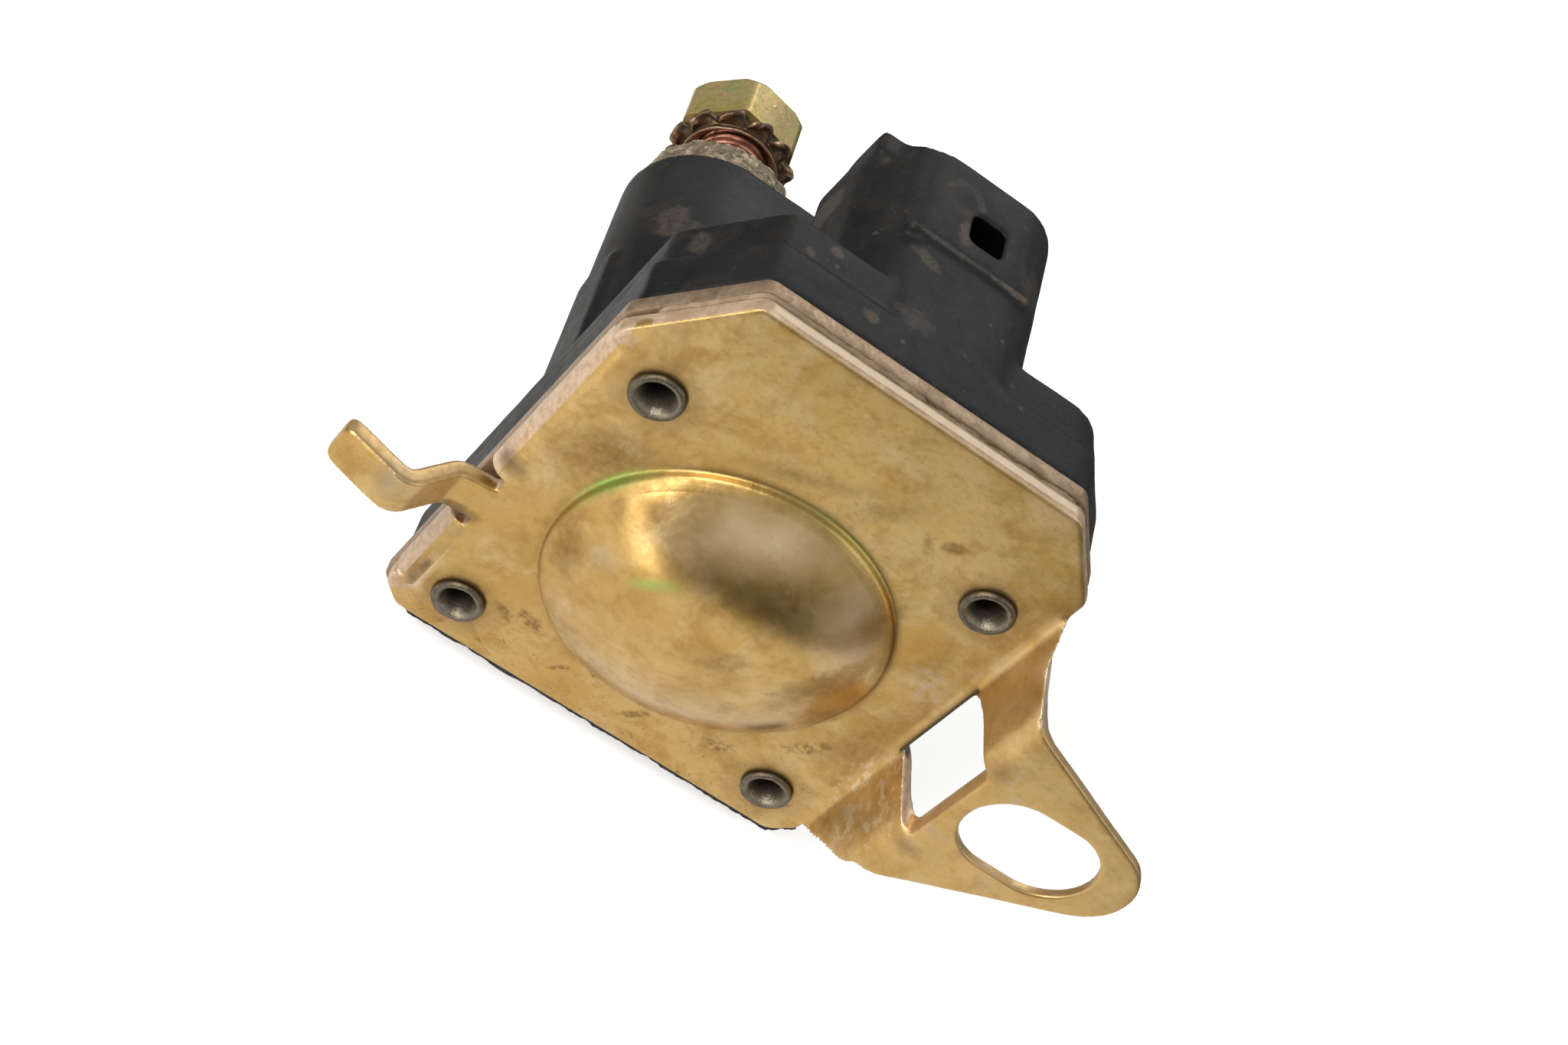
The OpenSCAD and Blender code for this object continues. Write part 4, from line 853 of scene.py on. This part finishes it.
def make_bracket():
    def hold(p):
        return np.where((p[:, 0] > LEGS[0]) & (p[:, 0] < LEGS[1]), 0, 0.5)
    obj = moulded("base_bracket", 0.17, 20, 0.2, hold)
    p = standing(obj)
    relax(obj, 3, np.where(np.hypot(p[:, 0], p[:, 1]) < 16.5, 0, 0.9))
    p, n = mark_wear(obj, 2, 2.4)
    thin_ear(p)
    smooth_cup(p, n)
    mark_bracket(obj, p, n)
    dent = np.array([rough_at(*q, 0.16) for q in p]) * (np.hypot(p[:, 0], p[:, 1]) > 17)
    stand_back(obj, p + n * (0.045 * dent)[:, None])
    return stands_for(obj, "base_bracket", 50)


# Housing, held firm round the window and groove
def make_housing():
    def hold(p):
        x, y, z = p.T
        firm = (y < -32.8) & (z > 21.5) & (z < 31.5) & (np.abs(x - 1) < 8.5)
        return 0.75 * firm
    obj = moulded("housing", 0.34, 9, 0.4, hold)
    p, n = mark_wear(obj, 3, 1.1)
    dent = np.array([rough_at(*q, 0.22, 3) for q in p])
    stand_back(obj, p + n * (0.035 * dent)[:, None])
    return stands_for(obj, "housing", 60)


# Gasket with a torn, uneven outer edge
def make_gasket():
    obj = moulded("gasket", 0.26, 2, 0.4)
    p = standing(obj)
    x, y, z = p.T
    edge = (np.abs(x) > 22.5) | (y > 24.5) | (y < -31.5) | (-x - y > 42) | (x - y > 46)
    tear = np.array([rough_at(*q, 0.5, 5) + 0.6 * rough_at(*q, 1.6, 6) for q in p])
    size = np.where((x < -14) & (y < -22), 0.03, 0.28)
    shift = np.where(edge, np.clip(size * tear, -0.35, 0.2), 0)
    # It shows past the plate at the back and at the far corner
    shift += 0.3 * (y > 24.2) + 0.35 * ((x < 0) & (y < -24))
    way = np.stack([x, y, 0 * z], 1)
    way /= np.linalg.norm(way, axis=1)[:, None]
    stand_back(obj, p + way * shift[:, None])
    mark_wear(obj, 2, 2)
    return stands_for(obj, "gasket", 50)


# Rivets: rolled mouth whose flare gets a painted highlight, head on the body
def make_rivets():
    roll = [(2.34, 0.0), (2.72, -0.12), (2.8, -0.36), (2.7, -0.58), (2.46, -0.69), (2.2, -0.66),
            (1.98, -0.5), (1.78, -0.2), (1.62, 0.2), (1.5, 0.8), (1.38, 1.6), (1.36, 3.0)]
    neck = [(1.36, 9), (1.36, 14.9), (1.42, 15.45), (1.6, 15.6)]
    head = [(3.1, 15.6), (3.5, 15.3), (3.7, 14.9), (3.66, 14.62), (2.3, 14.6), (2.3, 7)]

    def shape(r, z, a, seed):
        if z < 0.3:
            r += 0.05 * rough_at(math.cos(a) * 2, math.sin(a) * 2, z, 0.9, seed)
            z += 0.05 * rough_at(math.cos(a) * 2, math.sin(a) * 2, r, 1.1, seed + 9)
        return r, z
    obj = lathe("rivets_skin", RIVETS, roll + neck + head, 72, shape)
    p, _ = mark_wear(obj, 1, 1.1)
    r = np.min([np.hypot(p[:, 0] - cx, p[:, 1] - cy) for cx, cy in RIVETS], 0)
    # The mouth's flare gets a painted highlight
    store(obj, "rim", ((r < 2.3) & (p[:, 2] < 1.2)) * 1.0)
    return stands_for(obj, "rivets", 60)


def height(node):
    """Lowest and highest place of a node along the standing part, in mm."""
    lo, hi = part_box(node)
    return lo[1] / MM + REST_Z, hi[1] / MM + REST_Z


STUD_X = 14.3
STUD_R = 3.95
PITCH = 25.4 / 24
THREAD_DEPTH = 0.42


def make_stud(node, x):
    lo, hi = height(node)
    free = height(node.replace("stud", "collar"))[1]
    head = [(0.02, lo), (5.7, lo), (6, lo + 0.3), (6, lo + 3.2), (5.7, lo + 3.5), (STUD_R, lo + 3.5)]
    step = PITCH / 8
    rows = int((hi - 0.75 - free - 0.3) / step)
    thread = [(STUD_R, free + 0.3 + step * i) for i in range(rows)]
    profile = head + [(STUD_R, free + 0.2)] + thread + [(3.3, hi - 0.1), (2.9, hi), (0.02, hi)]

    def shape(r, z, a, _):
        if r == STUD_R and z > free + 0.25:
            turn = ((z - free) / PITCH - a / (2 * math.pi)) % 1
            flank = min(1, 2.3 * abs(2 * turn - 1))
            # Worn nearly smooth near the collar, and running out at the tip
            left = min(1, 0.2 + 0.8 * max(0, z - free - 5.2) / 1.2)
            left *= min(1, max(0, hi - 0.6 - z) / 0.6 + 0.35)
            return STUD_R - THREAD_DEPTH * (1 - flank) * left, z
        return r, z
    obj = lathe(node + "_skin", [(x, 0)], profile, 72, shape)
    mark_wear(obj, 1, 1.2)
    return stands_for(obj, node, 45)


NUT_HALF = 12.7 / 2
NUT_CORNER = NUT_HALF / math.cos(math.pi / 6)
NUT_TURN = math.radians(11.3)       # how the hexagon stands in the photograph


def make_nut(node, x, seed):
    lo, hi = height(node)
    corners = [(4.03, lo + 0.5), (4.6, lo), (7.4, lo), (7.4, hi), (4.65, hi), (4.03, hi - 0.6)]
    profile = fine_profile(corners, 0.05)

    def shape(r, z, a, _):
        if r <= 6:
            return r, z
        flat = NUT_HALF / math.cos((a - NUT_TURN) % (math.pi / 3) - math.pi / 6)
        blunt = NUT_CORNER - 0.16
        edge = min(flat, blunt + 0.1 * (flat - blunt))
        top_cone = NUT_CORNER + 0.55 * ((hi - z) / 1.05 * 1.25 - 1.15)
        low_cone = NUT_CORNER - 0.1 + 1.4 * (z - lo)
        uneven = 0.012 * rough_at(math.cos(a) * 6, math.sin(a) * 6, z, 0.8, seed)
        return min(r, edge, top_cone, low_cone) + uneven, z
    obj = lathe(node + "_skin", [(x, 0)], profile, 240, shape)
    mark_wear(obj, 2, 1.6)
    return stands_for(obj, node, 35)


TEETH = 12
RING_R = 5.75       # the washer's plain ring ends here and its teeth begin


def make_washer(node, x, seed):
    lo, hi = height(node)
    ring = [(5.25, 1.5), (5.38, 0.9), (5.56, 0.82), (5.72, 0.95), (5.68, 1.4)]
    tooth = [(6.3, 1.45), (7.1, 1.35), (7.38, 1.55), (7.3, 1.95), (6.4, 2.25)]
    under_nut = [(6.0, hi - lo), (4.25, hi - lo), (4.25, 2.4), (5.15, 2.2)]
    profile = fine_profile([(r, lo + z) for r, z in ring + tooth + under_nut], 0.12)

    def shape(r, z, a, _):
        c, s = math.cos(a), math.sin(a)
        lump = rough_at(c * 7, s * 7, z, 0.45, seed)
        uneven = 0.12 * rough_at(c * 7, s * 7, 0, 0.3, seed + 2)
        t = (a * TEETH / (2 * math.pi) + 0.2 * seed + uneven) % 1
        gap = math.exp(-((t - 0.5) / 0.15) ** 2)
        out = min(1, max(0, (r - 5.7) / 1.0))
        r2 = r - out * (0.8 * gap + 0.3 * abs(lump))
        twist = 0.42 * math.sin(2 * math.pi * t) * out
        tilt = -0.35 * math.cos(a - math.radians(145))
        z2 = z + (twist + 0.3 * lump + tilt) * out
        if r < RING_R and z < lo + 1.3:
            r2 += 0.08 * rough_at(c * 5, s * 5, z, 0.7, seed + 4) - 0.04
        return r2, min(hi, max(lo, z2))
    obj = lathe(node + "_skin", [(x, 0)], profile, 288, shape)
    p, _ = mark_wear(obj, 2, 1.5)
    r = np.hypot(p[:, 0] - x, p[:, 1])
    # The washer's lower ring gets a painted highlight
    store(obj, "rim", (r < RING_R) * (p[:, 2] < lo + 1.1) * 1.0)
    store(obj, "inside", (r < 5.45) * (p[:, 2] > lo + 0.95) * 1.0)
    return stands_for(obj, node, 50)


def make_collar(node, x, seed):
    lo, hi = height(node)
    profile = fine_profile([(4.06, lo), (8.35, lo), (8.35, hi), (4.06, hi)], 0.55)

    def shape(r, z, a, _):
        if r > 4.2:
            c, s = math.cos(a) * r, math.sin(a) * r
            one_side = 0.5 + 0.5 * math.cos(a + 1.2)
            rough = rough_at(c, s, z, 0.6, seed) + one_side * rough_at(c, s, z, 1.8, seed + 3)
            out = min(1, (r - 4.2) / 2)
            r -= out * (0.10 + 0.16 * rough)
            if z > lo + 0.3:
                z -= 0.05 + 0.07 * rough
            else:
                r -= out * 0.25 * max(0, rough_at(c, s, 0, 0.9, seed + 7))
        return max(4.05, min(8.4, r)), max(lo, min(hi, z))
    obj = lathe(node + "_skin", [(x, 0)], profile, 216, shape)
    mark_wear(obj, 2, 1.6)
    return stands_for(obj, node, 60)


def make_winding():
    lo, hi = height("coil_winding")
    lo, hi = lo + 0.05, hi - 0.05
    turns, steps = 48, 6        # each turn of wire is a low arch of a few steps
    rows = turns * steps
    wire = [(13.35 + 0.2 * abs(math.sin(math.pi * i / steps)), lo + (hi - lo) * i / rows)
            for i in range(rows + 1)]
    obj = lathe("coil_winding_skin", [(0, 0)], [(8.1, lo)] + wire + [(8.1, hi)], 96)
    mark_wear(obj, 1, 1)
    return stands_for(obj, "coil_winding", 60)


def make_spring(node):
    """A copy of a spring, with its material, its body and a mesh of its own."""
    obj = tidy_copy(node)
    stands_for(obj, node, 60)
    lo, hi = height(node)
    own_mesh(obj)


def make_all():
    done = {"base_bracket", "housing", "gasket", "rivets", "coil_winding", "return_spring",
            "contact_spring"}
    make_bracket()
    make_housing()
    make_gasket()
    make_rivets()
    make_winding()
    make_spring("return_spring")
    make_spring("contact_spring")
    for seed, (side, x) in enumerate((("left", -STUD_X), ("right", STUD_X))):
        make_stud(side + "_stud", x)
        make_nut(side + "_nut", x, seed)
        make_washer(side + "_lock_washer", x, seed)
        make_collar(side + "_collar", x, seed)
        done |= {side + end for end in ("_stud", "_nut", "_lock_washer", "_collar")}
    for node, width in (("flux_plate", 0.25), ("yoke_frame", 0.3), ("left_blade", 0.12),
                        ("right_blade", 0.12), ("contact_bar", 0.2), ("plunger", 0.15),
                        ("coil_bobbin", 0.15), ("fixed_core", 0.2)):
        obj = tidy_copy(node)
        soften(obj, width)
        stands_for(obj, node)
        done.add(node)
    # The rest shows as the CAD made it, with a material
    for node in SLOTS.keys() - done:
        obj = frame["nodes"][node]
        obj.data.materials.clear()
        obj.data.materials.append(MATS[SLOTS[node]])


make_all()


# Floor, world and lamps
def make_floor():
    me = bpy.data.meshes.new("floor")
    half = 1.5
    corners = [(-half, -half, 0), (half, -half, 0), (half, half, 0), (-half, half, 0)]
    me.from_pydata(corners, [], [(0, 1, 2, 3)])
    floor = bpy.data.objects.new("floor", me)
    bpy.context.scene.collection.objects.link(floor)
    s = Shade("floor")
    path = s.nodes.new("ShaderNodeLightPath")
    glossy, seen = path.outputs["Is Glossy Ray"], path.outputs["Is Camera Ray"]
    # In reflections the floor is pale near the part and dark farther off, as a small table would be,
    # and a bright bar on it makes the streak of light in the cup
    far = s.band(s.vec("LENGTH", s.vec("MULTIPLY", s.coords, (1, 1, 0)), out="Value"), 0.09, 0.13)
    color = s.mix(s.times(far, glossy, 0.9), (0.80, 0.80, 0.80), (0.06, 0.055, 0.05))
    s.end(color, 0.9, 0.0, None, 0.1)
    s.bsdf.inputs["Emission Color"].default_value = (1, 0.99, 0.97, 1)
    near = s.band(far, 0, 1, 0.20, 0)
    from_bar = s.vec("SUBTRACT", s.coords, (-0.095, -0.135, 0))
    turned = s.nodes.new("ShaderNodeMapping")
    turned.inputs["Rotation"].default_value = (0, 0, math.radians(-37.5))
    s.links.new(from_bar, turned.inputs["Vector"])
    along, across = s.split(turned.outputs[0])[:2]
    bar = s.times(s.band(s.calc("ABSOLUTE", along), 0.06, 0.10, 1, 0),
                  s.band(s.calc("ABSOLUTE", across), 0.004, 0.014, 1, 0))
    glow = s.times(glossy, s.calc("ADD", near, s.times(bar, 4.0)))
    s.put(s.bsdf.inputs["Emission Strength"], s.calc("ADD", s.times(seen, 0.55), glow))
    me.materials.append(s.mat)


def make_world():
    """Soft light from all round. Reflections see a sky that darkens toward the horizon, and the
    camera sees a pale backdrop."""
    world = bpy.data.worlds.new("studio")
    bpy.context.scene.world = world
    world.use_nodes = True
    nodes, links = world.node_tree.nodes, world.node_tree.links
    back = nodes["Background"]
    back.inputs["Color"].default_value = (0.96, 0.98, 1.0, 1)
    path = nodes.new("ShaderNodeLightPath")
    place = nodes.new("ShaderNodeTexCoord")
    split = nodes.new("ShaderNodeSeparateXYZ")
    links.new(place.outputs["Generated"], split.inputs[0])
    sky = nodes.new("ShaderNodeMapRange")
    sky.inputs["From Min"].default_value = -0.02
    sky.inputs["From Max"].default_value = 0.14
    sky.inputs["To Min"].default_value = 0.14
    sky.inputs["To Max"].default_value = 0.42
    links.new(split.outputs[2], sky.inputs["Value"])
    pick = nodes.new("ShaderNodeMix")
    pick.inputs["A"].default_value = 0.36
    links.new(path.outputs["Is Glossy Ray"], pick.inputs["Factor"])
    links.new(sky.outputs[0], pick.inputs["B"])
    shown = nodes.new("ShaderNodeMix")
    shown.inputs["B"].default_value = 0.94
    links.new(path.outputs["Is Camera Ray"], shown.inputs["Factor"])
    links.new(pick.outputs["Result"], shown.inputs["A"])
    links.new(shown.outputs["Result"], back.inputs["Strength"])


def lamp(name, place, aim, size, watts, color=(1, 1, 1)):
    """A soft rectangular lamp at a place, turned toward an aim."""
    data = bpy.data.lights.new(name, "AREA")
    data.shape = "RECTANGLE"
    data.size, data.size_y = size
    data.energy = watts
    data.color = color
    obj = bpy.data.objects.new(name, data)
    obj.location = place
    obj.rotation_euler = (Vector(aim) - Vector(place)).to_track_quat("-Z", "Y").to_euler()
    bpy.context.scene.collection.objects.link(obj)


make_camera()
make_floor()
make_world()
lamp("key", (-0.42, -0.28, 0.45), (0, 0, 0.03), (0.30, 0.30), 3.3, (1, 0.97, 0.92))
lamp("fill", (0.5, -0.25, 0.45), (0, 0, 0.02), (0.5, 0.5), 0.9)
lamp("rim", (0.1, 0.6, 0.5), (0, 0, 0.02), (0.4, 0.4), 1.2)
lamp("card", (-0.20, -0.26, 0.07), (0, 0, 0.03), (0.05, 0.12), 0.25, (1, 0.97, 0.90))

bpy.context.scene.view_settings.view_transform = "Standard"
